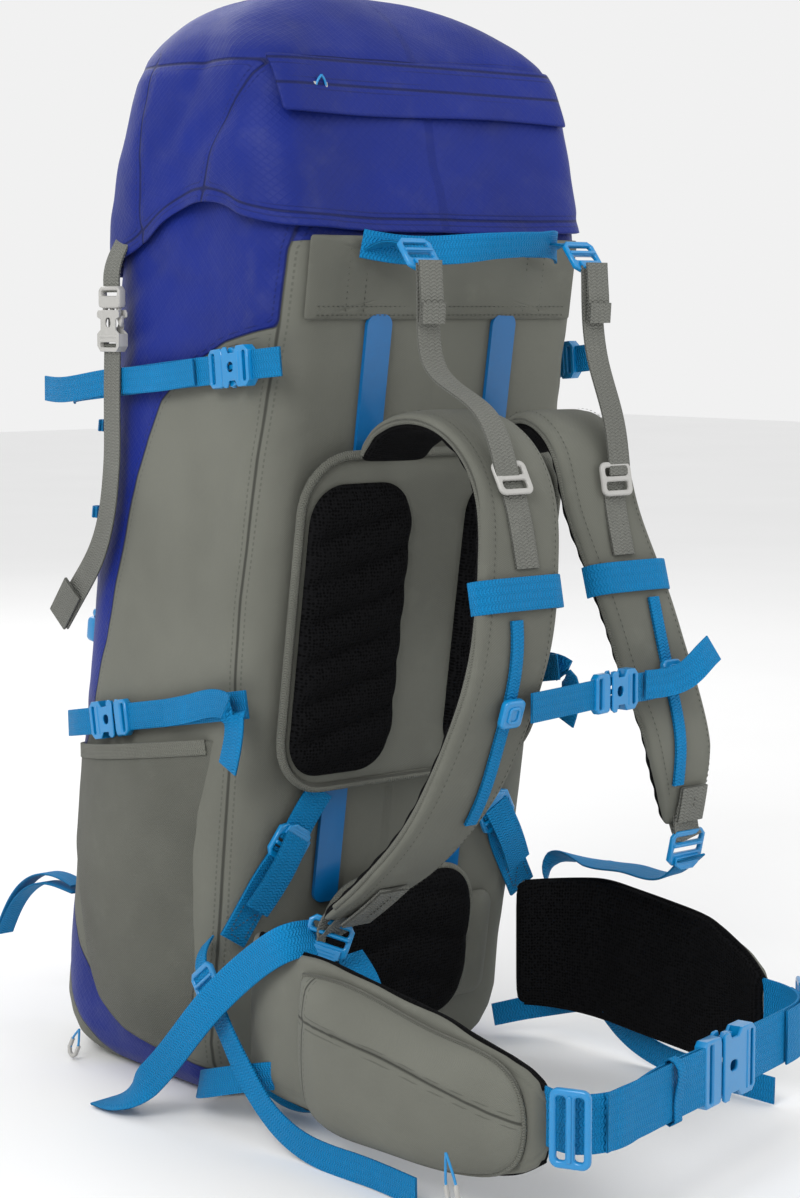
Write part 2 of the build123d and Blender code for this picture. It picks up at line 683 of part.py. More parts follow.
save(group(lower_runs), "lid_lower_webbing")


# --- stretch pockets: sheets that stand off the bag, open at the top -----------------
def bowed(points, low, high):
    """Prism between a bowed line and its chord, leaning with the bag."""
    with BuildPart() as solid:
        with BuildSketch(Plane.XY.offset(low)):
            with BuildLine():
                bow = ThreePointArc(*points)
                Line(bow @ 0, bow @ 1)
            make_face()
        extrude(amount=(high - low) * STEP_UP, dir=(0, -LEAN, 1))
    return solid


POCKET_LOW, POCKET_HIGH, POCKET_FLOOR = 30.0, 300.0, 4.0
HEM = ((-260, 600), (-260, 288), (-175, 276), (100, 234), (200, 230), (200, 600))
bottle = []
for side, name in SIDES:
    outside = ((side * 146.5, -95), (side * 163, 5), (side * 127, 93))
    inside = ((side * 144, -90), (side * 160.5, 4), (side * 125, 88))
    with BuildPart() as pocket:
        add(bowed(outside, POCKET_LOW, POCKET_HIGH).part)
        add(bowed(inside, POCKET_LOW + POCKET_FLOOR, POCKET_HIGH + 5).part, mode=Mode.SUBTRACT)
        add(stack(OUTER).part, mode=Mode.SUBTRACT)
        add(slab(HEM).part, mode=Mode.SUBTRACT)
    bottle.append(pocket)
save(group(bottle), "bottle_pockets")

FRONT_LOW, FRONT_HIGH = 70.0, 400.0
front_edge = back_y(FRONT_LOW) + DEPTH
front_out = ((-100, front_edge - 8), (0, front_edge + 20), (100, front_edge - 8))
front_in = ((-97, front_edge - 10), (0, front_edge + 17), (97, front_edge - 10))
with BuildPart() as front_pocket:
    add(bowed(front_out, FRONT_LOW, FRONT_HIGH).part)
    add(bowed(front_in, FRONT_LOW + POCKET_FLOOR, FRONT_HIGH + 5).part, mode=Mode.SUBTRACT)
    add(stack(OUTER).part, mode=Mode.SUBTRACT)
save(front_pocket, "front_pocket")

# --- front: shock cord laced across, cord lock on its tail, tool loops ----------------
FRONT = Plane(origin=(0, BACK_Y + DEPTH, 0), x_dir=(-1, 0, 0), z_dir=(0, 1, LEAN))
CORD, CORD_OUT = 1.6, 25.0
LACING = ((84, 300), (84, 350), (-84, 384), (84, 418), (-84, 452), (84, 486), (84, 520))
lace_plane = FRONT.offset(CORD_OUT)
with BuildPart() as bungee:
    with BuildLine(lace_plane) as lacing:
        FilletPolyline(*LACING, radius=6)
    with BuildSketch(Plane(origin=lacing.line @ 0, z_dir=lacing.line % 0)):
        Circle(CORD)
    sweep(path=lacing.line)
save(bungee, "bungee")

LOCK_LOW, LOCK_LONG, LOCK_RADIUS = 312.0, 20.0, 7.0
with BuildPart() as cord_lock:
    with BuildSketch(Plane(origin=lace_plane.from_local_coords((LACING[0][0], LOCK_LOW, 0)),
                           x_dir=(-1, 0, 0), z_dir=(0, -LEAN, 1))):
        RectangleRounded(2 * LOCK_RADIUS + 2, 2 * LOCK_RADIUS - 2, 4)
        Circle(CORD + GAP, mode=Mode.SUBTRACT)
    extrude(amount=LOCK_LONG)
save(cord_lock, "cord_lock")

LOOP_X, LOOP_WIDE, LOOP_THICK = 104.0, 16.0, 4.0
LOOP_ROUTE = ((112, 119), (150, 121), (194, 99), (222, 62))
save(
    group(ribbon(Plane.YZ.offset(side * LOOP_X), LOOP_ROUTE, LOOP_WIDE, LOOP_THICK) for side, _ in SIDES),
    "tool_loops",
)
bottom_pull = Plane(origin=(-SIDE_X, 40, 15), x_dir=(0, 0, 1), z_dir=(-1, 0, 0))
save(flat(bottom_pull, 22, 9, 3, 3), "bottom_zip_pull")

# --- lower shoulder webbing with its long tail, and the stabiliser straps --------------
slack = ((-250, 122), (-262, 92), (-258, 52), (-222, 18), (-165, 12), (-136, 22))
tail_plane = heading_plane((-164, -240), (-196, -94))
tail = ((0, 146), (30, 128), (80, 80), (128, 26), (152, 14))
reach_plane = heading_plane((114, -345), (166, -150))
reach = ((0, 176), (60, 163), (120, 157), (170, 152), (198, 130))
save(
    group(
        [
            ribbon(Plane.YZ.offset(-106), slack, WEB_MID),
            ribbon(tail_plane, tail, WEB, WEB_MID),
            ribbon(reach_plane, reach, WEB_MID),
        ]
    ),
    "lower_webbing",
)

FLOOR_RUN = WEB_NARROW / 2          # the webbing stands on its edge under each wing
holding = ((STABILISER[0] - 14, 84), (-190, 54), (-222, 24), (-262, 12))
steady = ((-130, 24), (-180, 36), (-232, 52))
runs = []
for side, name in SIDES:
    plane = on_side(side, STABILISER_OUT[name])
    runs.append(ribbon(plane, holding, WEB, WEB_NARROW))
    runs.append(ribbon(plane, ((-264, FLOOR_RUN), (-385, FLOOR_RUN)), WEB, WEB_NARROW))
    runs.append(ribbon(on_side(side, STABILISER_OUT[name] - 3.5), steady, WEB, WEB_NARROW))
save(group(runs), "stabiliser_webbing")
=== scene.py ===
"""Trekking backpack: the visible model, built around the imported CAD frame.

Blender works in metres.  The tables here are in millimetres, in the same frame as the
CAD: +Z up, the harness on the -Y side, the wearer's right at -X.
"""
import math

import bmesh
import bpy
import numpy as np
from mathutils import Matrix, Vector


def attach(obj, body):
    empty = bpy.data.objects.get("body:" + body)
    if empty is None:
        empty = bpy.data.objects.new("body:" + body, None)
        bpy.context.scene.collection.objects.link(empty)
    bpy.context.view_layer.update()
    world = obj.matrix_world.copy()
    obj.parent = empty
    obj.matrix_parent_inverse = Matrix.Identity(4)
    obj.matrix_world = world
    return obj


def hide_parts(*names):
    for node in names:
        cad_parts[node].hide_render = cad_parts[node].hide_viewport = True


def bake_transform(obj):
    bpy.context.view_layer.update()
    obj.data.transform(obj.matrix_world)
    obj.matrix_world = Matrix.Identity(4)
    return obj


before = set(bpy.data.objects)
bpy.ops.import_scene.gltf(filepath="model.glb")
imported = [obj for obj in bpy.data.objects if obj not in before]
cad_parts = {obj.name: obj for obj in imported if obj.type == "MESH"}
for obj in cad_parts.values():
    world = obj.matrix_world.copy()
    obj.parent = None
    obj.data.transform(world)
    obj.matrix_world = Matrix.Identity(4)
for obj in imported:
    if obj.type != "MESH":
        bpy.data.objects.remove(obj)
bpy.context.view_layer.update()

MM = 0.001
TURN = 2 * math.pi
SIDES = ((-1, "right"), (1, "left"))
scene = bpy.context.scene

# --- camera ---------------------------------------------------------------------------------------
YAW, PITCH = math.radians(40), math.radians(6.343)
camera = bpy.data.objects.new("camera", bpy.data.cameras.new("camera"))
scene.collection.objects.link(camera)
camera.location = (-1.21, -1.608, 0.572)
camera.data.lens, camera.data.sensor_width = 78.13, 36
look = Vector((math.sin(YAW) * math.cos(PITCH), math.cos(YAW) * math.cos(PITCH), -math.sin(PITCH)))
camera.rotation_mode = "QUATERNION"
camera.rotation_quaternion = look.to_track_quat("-Z", "Y")
scene.camera = camera

# --- driving dimensions, as in the CAD ------------------------------------------------------------
BACK_Y, LEAN, DEPTH, HALF_WIDTH = -125.0, 0.152, 253.0, 146.0
STEP_UP = math.sqrt(1 + LEAN * LEAN)
SIDE_X = HALF_WIDTH + 5.8
WEB_NARROW, WEB_MID, WEB_BELT = 20.0, 25.0, 38.0
UP, ACROSS, DEEP = np.array([0, 0, 1.0]), np.array([1.0, 0, 0]), np.array([0, 1.0, 0])


def back_y(z):
    """Y of the bag's back face at height z."""
    return BACK_Y - LEAN * z


# --- materials ------------------------------------------------------------------------------------
class Paint:
    """A node material under construction."""

    def __init__(self, name):
        self.material = bpy.data.materials.new(name)
        self.material.use_nodes = True
        self.tree = self.material.node_tree
        self.tree.nodes.clear()
        self.shader = self.node("ShaderNodeBsdfPrincipled")
        out = self.node("ShaderNodeOutputMaterial")
        self.tree.links.new(self.shader.outputs[0], out.inputs[0])

    def node(self, kind, **settings):
        made = self.tree.nodes.new(kind)
        for key, value in settings.items():
            setattr(made, key, value)
        return made

    def put(self, socket, value):
        if isinstance(value, bpy.types.NodeSocket):
            self.tree.links.new(value, socket)
        else:
            socket.default_value = value

    def sum(self, operation, *values):
        made = self.node("ShaderNodeMath", operation=operation)
        for socket, value in zip(made.inputs, values):
            self.put(socket, value)
        return made.outputs[0]

    def mix(self, factor, one, two):
        made = self.node("ShaderNodeMix", data_type="RGBA")
        self.put(made.inputs[0], factor)
        for socket, value in ((made.inputs[6], one), (made.inputs[7], two)):
            self.put(socket, value if isinstance(value, bpy.types.NodeSocket) else (*value, 1))
        return made.outputs[2]

    def noise(self, scale, detail=3.0, rough=0.55):
        where = self.node("ShaderNodeTexCoord").outputs["Object"]
        made = self.node("ShaderNodeTexNoise")
        self.put(made.inputs["Vector"], where)
        made.inputs["Scale"].default_value = scale
        made.inputs["Detail"].default_value = detail
        made.inputs["Roughness"].default_value = rough
        return made.outputs[0]

    def ramp(self, value, low, high):
        """0 below low, 1 above high."""
        made = self.node("ShaderNodeMapRange", interpolation_type="SMOOTHSTEP")
        for socket, number in zip(made.inputs, (value, low, high, 0.0, 1.0)):
            self.put(socket, number)
        return made.outputs[0]

    def uv(self):
        split = self.node("ShaderNodeSeparateXYZ")
        self.put(split.inputs[0], self.node("ShaderNodeUVMap").outputs[0])
        return split.outputs[0], split.outputs[1]

    def attribute(self, name):
        return self.node("ShaderNodeAttribute", attribute_name=name).outputs["Fac"]

    def bump(self, height, strength, distance):
        made = self.node("ShaderNodeBump")
        made.inputs["Strength"].default_value = strength
        made.inputs["Distance"].default_value = distance
        self.put(made.inputs["Height"], height)
        self.put(self.shader.inputs["Normal"], made.outputs[0])

    def surface(self, rough, sheen=0.0, specular=0.5, coat=0.0, metal=0.0):
        inputs = self.shader.inputs
        self.put(inputs["Roughness"], rough)
        inputs["Sheen Weight"].default_value = sheen
        inputs["Sheen Roughness"].default_value = 0.45
        inputs["Specular IOR Level"].default_value = specular
        inputs["Coat Weight"].default_value = coat
        inputs["Coat Roughness"].default_value = 0.12
        inputs["Metallic"].default_value = metal


def srgb(red, green, blue):
    """Linear colour from everyday 0-255 values."""
    return tuple(((c / 255 + 0.055) / 1.055) ** 2.4 if c > 10 else c / 255 / 12.92 for c in (red, green,
            blue))


def shade(colour, by):
    return tuple(min(1.0, c * by) for c in colour)


BLUE, GREY = srgb(10, 32, 116), srgb(106, 107, 99)
CYAN, WEB_GREY, PALE, BLACK = srgb(0, 126, 186), srgb(120, 121, 115), srgb(168, 167, 163), srgb(11, 11, 12)


def woven(paint, period, pattern):
    """Height of a weave over the piece's own UV, which is in metres."""
    along, over = paint.uv()
    u = paint.sum("MULTIPLY", along, TURN / (period * MM))
    v = paint.sum("MULTIPLY", over, TURN / (period * MM))
    if pattern == "web":
        chevron = paint.sum("MULTIPLY", paint.sum("ABSOLUTE", paint.sum("SINE", paint.sum("MULTIPLY", v,
                0.22))), 4.0)
        rib = paint.sum("SINE", paint.sum("ADD", u, chevron))
        return paint.sum("MULTIPLY_ADD", paint.sum("SINE", paint.sum("MULTIPLY", v, 1.7)), 0.35, rib)
    weave = paint.sum("MULTIPLY", paint.sum("SINE", u), paint.sum("SINE", v))
    if pattern == "ripstop":
        ridge = None
        for sign in (0.11, -0.11):
            lean = paint.sum("MULTIPLY_ADD", v, sign, paint.sum("MULTIPLY", u, 0.11))
            line = paint.sum("POWER", paint.sum("ABSOLUTE", paint.sum("COSINE", lean)), 26.0)
            ridge = line if ridge is None else paint.sum("MAXIMUM", ridge, line)
        return paint.sum("MULTIPLY_ADD", ridge, 1.6, paint.sum("MULTIPLY", weave, 0.35))
    return weave


def cloth(name, colour, period=1.3, pattern="plain", relief=0.35, rough=0.8, sheen=0.04, worn=0.14,
          specular=0.18):
    """Woven fabric or webbing with uneven dye, soft wear, a weave in relief and painted shade in the weave's
    hollows.
    """
    paint = Paint(name)
    height = woven(paint, period, pattern)
    patches = paint.ramp(paint.noise(7.0), 0.3, 0.7)
    dusty = paint.ramp(paint.noise(42.0, 5.0), 0.52, 0.8)
    base = paint.mix(patches, shade(colour, 1 - worn), shade(colour, 1 + worn))
    base = paint.mix(paint.sum("MULTIPLY", dusty, 0.22), base, shade(colour, 1.55))
    # painted shade: the weave's low parts are darkened, up to 28 % of the way towards 0.45 of the colour
    weave_shade_ramp = paint.ramp(height, -1.0, 1.0)
    base = paint.mix(paint.sum("MULTIPLY_ADD", weave_shade_ramp, -0.28, 0.28), base, shade(colour, 0.45))
    paint.put(paint.shader.inputs["Base Color"], base)
    paint.surface(paint.sum("MULTIPLY_ADD", paint.noise(90.0), 0.14, rough - 0.07), sheen, specular)
    crumple = paint.sum("MULTIPLY_ADD", paint.noise(27.0, 4.0), 0.0 if pattern == "web" else 9.0, height)
    paint.bump(crumple, relief, 0.0004)
    return paint.material


def mesh_cloth(name, colour):
    """Open spacer mesh: rows of small holes over foam, with painted shade in the holes and a painted
    highlight on the strands.
    """
    paint = Paint(name)
    along, over = paint.uv()
    spot = paint.node("ShaderNodeCombineXYZ")
    paint.put(spot.inputs[0], paint.sum("MULTIPLY", along, 420.0))
    paint.put(spot.inputs[1], paint.sum("MULTIPLY", over, 420.0))
    cells = paint.node("ShaderNodeTexVoronoi", feature="F1")
    paint.put(cells.inputs["Vector"], spot.outputs[0])
    cells.inputs["Scale"].default_value = 1.0
    cells.inputs["Randomness"].default_value = 0.35
    hole = paint.ramp(cells.outputs["Distance"], 0.18, 0.5)
    # the holes are the mesh's own; their darkness (0.2 of the colour) is painted shade, and the strands at
    # 1.8 of the colour are a painted highlight
    base = paint.mix(hole, shade(colour, 0.2), shade(colour, 1.8))
    base = paint.mix(paint.sum("MULTIPLY", paint.ramp(paint.noise(18.0), 0.45, 0.8), 0.3), base,
                     shade(colour, 1.7))
    paint.put(paint.shader.inputs["Base Color"], base)
    paint.surface(0.95, 0.0, 0.06)
    paint.bump(hole, 0.7, 0.0007)
    return paint.material


def moulded(name, colour, rough=0.3, coat=0.25):
    """Moulded plastic with faint flow marks and scuffs."""
    paint = Paint(name)
    scuff = paint.ramp(paint.noise(160.0, 6.0, 0.7), 0.5, 0.75)
    flow = paint.noise(30.0, 2.0)
    base = paint.mix(flow, shade(colour, 0.88), shade(colour, 1.1))
    base = paint.mix(paint.sum("MULTIPLY", scuff, 0.18), base, shade(colour, 1.5))
    paint.put(paint.shader.inputs["Base Color"], base)
    paint.surface(paint.sum("MULTIPLY_ADD", scuff, 0.22, rough), 0.0, 0.5, coat)
    paint.bump(paint.noise(700.0, 2.0), 0.12, 0.0002)
    return paint.material


def bag_cloth(name, upper, lower):
    """Two fabrics joined along tone = 0, with a sewn line wherever seam is near 0 mm."""
    paint = Paint(name)
    tone, seam = paint.attribute("tone"), paint.sum("ABSOLUTE", paint.attribute("seam"))
    plain, ripstop = woven(paint, 1.3, "plain"), woven(paint, 1.3, "ripstop")
    is_grey = paint.ramp(tone, -0.25, 0.25)
    patches = paint.ramp(paint.noise(6.0), 0.3, 0.7)
    blue = paint.mix(patches, shade(upper, 0.84), shade(upper, 1.16))
    grey = paint.mix(patches, shade(lower, 0.88), shade(lower, 1.1))
    base = paint.mix(is_grey, blue, grey)
    dusty = paint.ramp(paint.noise(38.0, 5.0), 0.5, 0.8)
    base = paint.mix(paint.sum("MULTIPLY", dusty, 0.06), base, shade(lower, 1.3))
    edge = paint.sum("MINIMUM", paint.sum("ABSOLUTE", tone), seam)
    groove = paint.ramp(edge, 0.3, 1.5)
    _, up = paint.uv()
    dash = paint.ramp(paint.sum("SINE", paint.sum("MULTIPLY", up, TURN / 0.0042)), -0.3, 0.1)
    row = paint.sum("SUBTRACT", 1.0, paint.ramp(paint.sum("ABSOLUTE", paint.sum("SUBTRACT", edge, 4.0)),
                                                0.25, 0.7))
    stitch = paint.sum("MULTIPLY", row, dash)
    base = paint.mix(paint.sum("MULTIPLY_ADD", groove, -0.8, 0.8), base,
                     paint.mix(is_grey, shade(upper, 0.25), shade(lower, 0.2)))
    base = paint.mix(paint.sum("MULTIPLY", stitch, 0.5), base,
                     paint.mix(is_grey, shade(upper, 0.4), shade(lower, 0.45)))
    paint.put(paint.shader.inputs["Base Color"], base)
    shine = paint.mix(is_grey, (0.48,) * 3, (0.82,) * 3)
    paint.surface(paint.sum("MULTIPLY_ADD", paint.noise(80.0), 0.1, shine), 0.02, 0.22)
    weave = paint.mix(is_grey, ripstop, plain)
    low = paint.sum("MULTIPLY_ADD", groove, 3.0, paint.sum("MULTIPLY", weave, 0.5))
    low = paint.sum("MULTIPLY_ADD", paint.noise(24.0, 4.0), 11.0, low)
    paint.bump(paint.sum("MULTIPLY_ADD", stitch, 1.0, low), 0.5, 0.0004)
    return paint.material


M_BAG = bag_cloth("bag_fabric", BLUE, GREY)
M_GREY = cloth("grey_fabric", GREY)
M_POCKET = cloth("stretch_fabric", shade(GREY, 0.78), 1.6, relief=0.5)
M_BLUE = cloth("blue_fabric", BLUE, 1.3, "ripstop", rough=0.55)
M_MESH = mesh_cloth("black_mesh", BLACK)
M_WEB = cloth("blue_webbing", CYAN, 2.4, "web", 1.0, 0.6, 0.0, 0.08)
M_WEB_GREY = cloth("grey_webbing", WEB_GREY, 2.4, "web", 1.0, 0.7, 0.0, 0.08)
M_PIPING = cloth("grey_piping", shade(GREY, 1.12), 1.8, "web", 0.9, 0.7)
M_THREAD = cloth("thread", shade(GREY, 0.5), 0.6, "plain", 0.4, 0.6)
M_PLASTIC = moulded("blue_plastic", CYAN, 0.28, 0.35)
M_PALE = moulded("grey_plastic", PALE, 0.42, 0.1)
M_STAY = moulded("stay_bar", srgb(0, 96, 156), 0.33, 0.15)


# --- geometry helpers -----------------------------------------------------------------------------
def spline(points, count):
    """count points, evenly spaced in parameter, on a natural cubic through points."""
    given = np.array(points, float)
    if len(given) == 2:
        return given[0] + (given[1] - given[0]) * np.linspace(0, 1, count)[:, None]
    at = np.r_[0, np.cumsum(np.linalg.norm(np.diff(given, axis=0), axis=1))]
    gaps, size = np.diff(at), len(given)
    matrix, right = np.eye(size), np.zeros_like(given)
    for i in range(1, size - 1):
        matrix[i, i - 1:i + 2] = gaps[i - 1], 2 * (gaps[i - 1] + gaps[i]), gaps[i]
        right[i] = 6 * ((given[i + 1] - given[i]) / gaps[i] - (given[i] - given[i - 1]) / gaps[i - 1])
    bend = np.linalg.solve(matrix, right)
    want = np.linspace(0, at[-1], count)
    i = np.clip(np.searchsorted(at, want, side="right") - 1, 0, size - 2)
    b = ((want - at[i]) / gaps[i])[:, None]
    a, gap = 1 - b, gaps[i][:, None]
    return a * given[i] + b * given[i + 1] + ((a**3 - a) * bend[i] + (b**3 - b) * bend[i + 1]) * gap**2 / 6


def unit(vectors):
    vectors = np.asarray(vectors, float)
    return vectors / (np.linalg.norm(vectors, axis=-1, keepdims=True) + 1e-12)


def ripple(points, size, seed, stretch=(1, 1, 1)):
    """Smooth uneven height, about -1 to 1, with features about size mm across."""
    draw = np.random.RandomState(seed)
    p = np.asarray(points, float) * np.array(stretch) * TURN / size
    total = np.zeros(p.shape[:-1])
    for _ in range(7):
        heading = unit(draw.normal(size=3)) * draw.uniform(0.5, 1.2)
        total += np.sin(p @ heading + draw.uniform(0, TURN) + 1.3 * np.sin(p[...,
                2] * 0.37 + draw.uniform(0, TURN)))
    return total / 4


def nearest(*distances):
    """The smallest of several signed distances; its sign changes only where one of them crosses zero."""
    stack = np.array(np.broadcast_arrays(*distances), dtype=float)
    return np.min(np.abs(stack), axis=0) * np.prod(np.where(stack < 0, -1, 1), axis=0)


def near_line(y, z, line):
    """Distance in the (y, z) plane to a polyline."""
    best = np.full(np.shape(y), 1e9)
    for (ya, za), (yb, zb) in zip(line, line[1:]):
        dy, dz = yb - ya, zb - za
        t = np.clip(((y - ya) * dy + (z - za) * dz) / (dy * dy + dz * dz), 0, 1)
        best = np.minimum(best, np.hypot(y - ya - t * dy, z - za - t * dz))
    return best


def make(name, verts, faces, material, body, uv=None, face_material=None, sharp=50, levels=0,
         numbers=None):
    """One mesh piece from millimetres; material may be a list, and numbers are per-vertex values."""
    mesh = bpy.data.meshes.new(name)
    mesh.from_pydata((np.asarray(verts, float) * MM).tolist(), [], faces)
    for one in material if isinstance(material, (list, tuple)) else [material]:
        mesh.materials.append(one)
    mesh.polygons.foreach_set("use_smooth", [True] * len(mesh.polygons))
    if face_material is not None:
        mesh.polygons.foreach_set("material_index", list(face_material))
    corners = np.zeros(len(mesh.loops), int)
    mesh.loops.foreach_get("vertex_index", corners)
    flat = np.asarray(verts, float)[:, :2] if uv is None else np.asarray(uv, float)
    mesh.uv_layers.new(name="UVMap").data.foreach_set("uv", (flat[corners] * MM).ravel())
    for key, values in (numbers or {}).items():
        mesh.attributes.new(key, "FLOAT", "POINT").data.foreach_set("value",
                np.asarray(values, np.float32).ravel())
    mesh.validate()
    mesh.set_sharp_from_angle(angle=math.radians(sharp))
    piece = bpy.data.objects.new(name, mesh)
    scene.collection.objects.link(piece)
    if levels:
        finer = piece.modifiers.new("finer", "SUBSURF")
        finer.levels = finer.render_levels = levels
    if isinstance(body, str):
        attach(piece, body)
    else:
        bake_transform(piece)
    return piece


def grid_faces(rows, columns, wrap=False, first=0):
    faces = []
    for r in range(rows - 1):
        for c in range(columns if wrap else columns - 1):
            d = (c + 1) % columns
            a = first + r * columns
            faces.append((a + c, a + d, a + columns + d, a + columns + c))
    return faces


def normals(grid, wrap):
    """Outward direction at each point of a grid whose columns run anticlockwise."""
    over = np.roll(grid, -1, 1) - np.roll(grid, 1, 1) if wrap else np.gradient(grid, axis=1)
    return unit(np.cross(over, np.gradient(grid, axis=0)))


def grid_uv(grid):
    """Distances along columns and rows, in mm."""
    over = np.linalg.norm(np.diff(grid, axis=1), axis=2).mean(0)
    upward = np.linalg.norm(np.diff(grid, axis=0), axis=2).mean(1)
    u, v = np.r_[0, np.cumsum(over)], np.r_[0, np.cumsum(upward)]
    return np.stack(np.meshgrid(u, v), -1).reshape(-1, 2)


def superellipse(count, square_x=0.35, square_y=0.8):
    turn = np.linspace(0, TURN, count, endpoint=False)
    c, s = np.cos(turn), np.sin(turn)
    return np.stack([np.sign(c) * abs(c) ** square_x, np.sign(s) * abs(s) ** square_y], 1)


FLAT_PROFILE = np.array([
    (-1, 0), (-0.985, -0.8), (-0.93, -1), (-0.5, -1), (0, -1), (0.5, -1), (0.93, -1), (0.985, -0.8),
    (1, 0), (0.985, 0.8), (0.93, 1), (0.5, 1), (0, 1), (-0.5, 1), (-0.93, 1), (-0.985, 0.8),
])
ROUND_PROFILE = superellipse(10, 1.0, 1.0)


def sweep(name, line, across, half_wide, half_thick, profile, material, body, inner=None, levels=0,
          relief=None, blunt=0.0, sharp=50):
    """A form swept along line: across gives its width direction, and inner the material of its back face."""
    line = np.asarray(line, float)
    count = len(line)
    along = unit(np.gradient(line, axis=0))
    across = np.broadcast_to(np.asarray(across, float), (count, 3))
    over = unit(across - (across * along).sum(1, keepdims=True) * along)
    out = np.cross(along, over)
    wide = np.broadcast_to(np.asarray(half_wide, float), (count,)).copy()
    thick = np.broadcast_to(np.asarray(half_thick, float), (count,)).copy()
    run = np.r_[0, np.cumsum(np.linalg.norm(np.diff(line, axis=0), axis=1))]
    if blunt:
        ends = np.minimum(run, run[-1] - run)
        rounding = np.sqrt(np.clip(1 - (1 - np.clip(ends / blunt, 0, 1)) ** 2, 0.02, 1))
        thick *= rounding
        wide *= 0.86 + 0.14 * rounding
    grid = (line[:, None] + over[:, None] * (profile[:, 0] * wide[:, None])[..., None]
            + out[:, None] * (profile[:, 1] * thick[:, None])[..., None])
    if relief is not None:
        push = relief(np.broadcast_to((run / run[-1])[:, None], grid.shape[:2]),
                      np.broadcast_to(profile[:, 0], grid.shape[:2]),
                      np.broadcast_to(profile[:, 1], grid.shape[:2]), grid)
        grid = grid + unit(out[:, None] * profile[:, 1:2] + over[:, None] * profile[:, :1]) * push[..., None]
    around = len(profile)
    girth = np.r_[0, np.cumsum(np.linalg.norm(np.diff(profile * [wide.mean(), thick.mean()], axis=0),
                                              axis=1))]
    uv = np.stack(np.meshgrid(girth, run), -1)[..., ::-1].reshape(-1, 2)
    verts = np.vstack([grid.reshape(-1, 3), grid[0].mean(0), grid[-1].mean(0)])
    uv = np.vstack([uv, (0, 0), (run[-1], 0)])
    faces = grid_faces(count, around, True)
    which = [1 if profile[c, 1] + profile[(c + 1) % around, 1] < 0 and inner else 0
             for _ in range(count - 1) for c in range(around)]
    start, end, last = count * around, count * around + 1, (count - 1) * around
    faces += [(start, (c + 1) % around, c) for c in range(around)]
    faces += [(end, last + c, last + (c + 1) % around) for c in range(around)]
    which += [0] * (2 * around)
    piece = make(name, verts, faces, [material, inner] if inner else material, body, uv, which, sharp,
                 levels)
    bm_flip(piece)
    return piece


def web(name, points, width, across, body, material=None, thick=1.7, count=None,
        wave=0.25):
    """Flat webbing through points (mm)."""
    points = np.asarray(points, float)
    total = np.linalg.norm(np.diff(points, axis=0), axis=1).sum()
    count = count or max(6, int(total / 4))
    line = spline(points, count)
    across = np.asarray(across, float)
    if across.ndim == 2:
        at = np.r_[0, np.cumsum(np.linalg.norm(np.diff(points, axis=0), axis=1))] / total
        across = np.column_stack([np.interp(np.linspace(0, 1, count), at, across[:, k]) for k in range(3)])
    if wave:
        drift = ripple(line, 60, 5) * wave
        line = line + unit(np.cross(unit(np.gradient(line, axis=0)),
                                    unit(np.broadcast_to(across, line.shape)))) * drift[:, None]
    return sweep(name, line, across, width / 2, thick / 2, FLAT_PROFILE, material or M_WEB, body)


def tube(name, points, radius, body, material, count=40):
    """Round cord through points."""
    line = spline(points, count)
    side = unit(np.cross(unit(np.gradient(line, axis=0)), (0.31, 0.23, 0.92)))
    return sweep(name, line, side, radius, radius, ROUND_PROFILE, material, body)


def stitches(name, points, out, body, material=None, pitch=4.2, long=2.8, wide=0.42, lift=0.2):
    """Raised thread along a line: one small spindle for each stitch."""
    line = spline(points, 200)
    run = np.r_[0, np.cumsum(np.linalg.norm(np.diff(line, axis=0), axis=1))]
    out = np.broadcast_to(np.asarray(out, float), line.shape)
    verts, faces = [], []
    for at in np.arange(pitch, run[-1] - pitch, pitch):
        a, b, n = (np.array([np.interp(at + s, run, source[:, k]) for k in range(3)])
                   for s, source in ((-long / 2, line), (long / 2, line), (0, out)))
        n = unit(n)
        side, middle, first = unit(np.cross(b - a, n)) * wide, (a + b) / 2 + n * lift, len(verts)
        verts += [a + n * (lift - 0.3), b + n * (lift - 0.3), middle + side, middle + n * wide * 1.3,
                  middle - side, middle - n * wide]
        for k in range(4):
            m = 2 + (k + 1) % 4
            faces += [(first, first + m, first + 2 + k), (first + 1, first + 2 + k, first + m)]
    return make(name, verts, faces, material or M_THREAD, body, sharp=80)


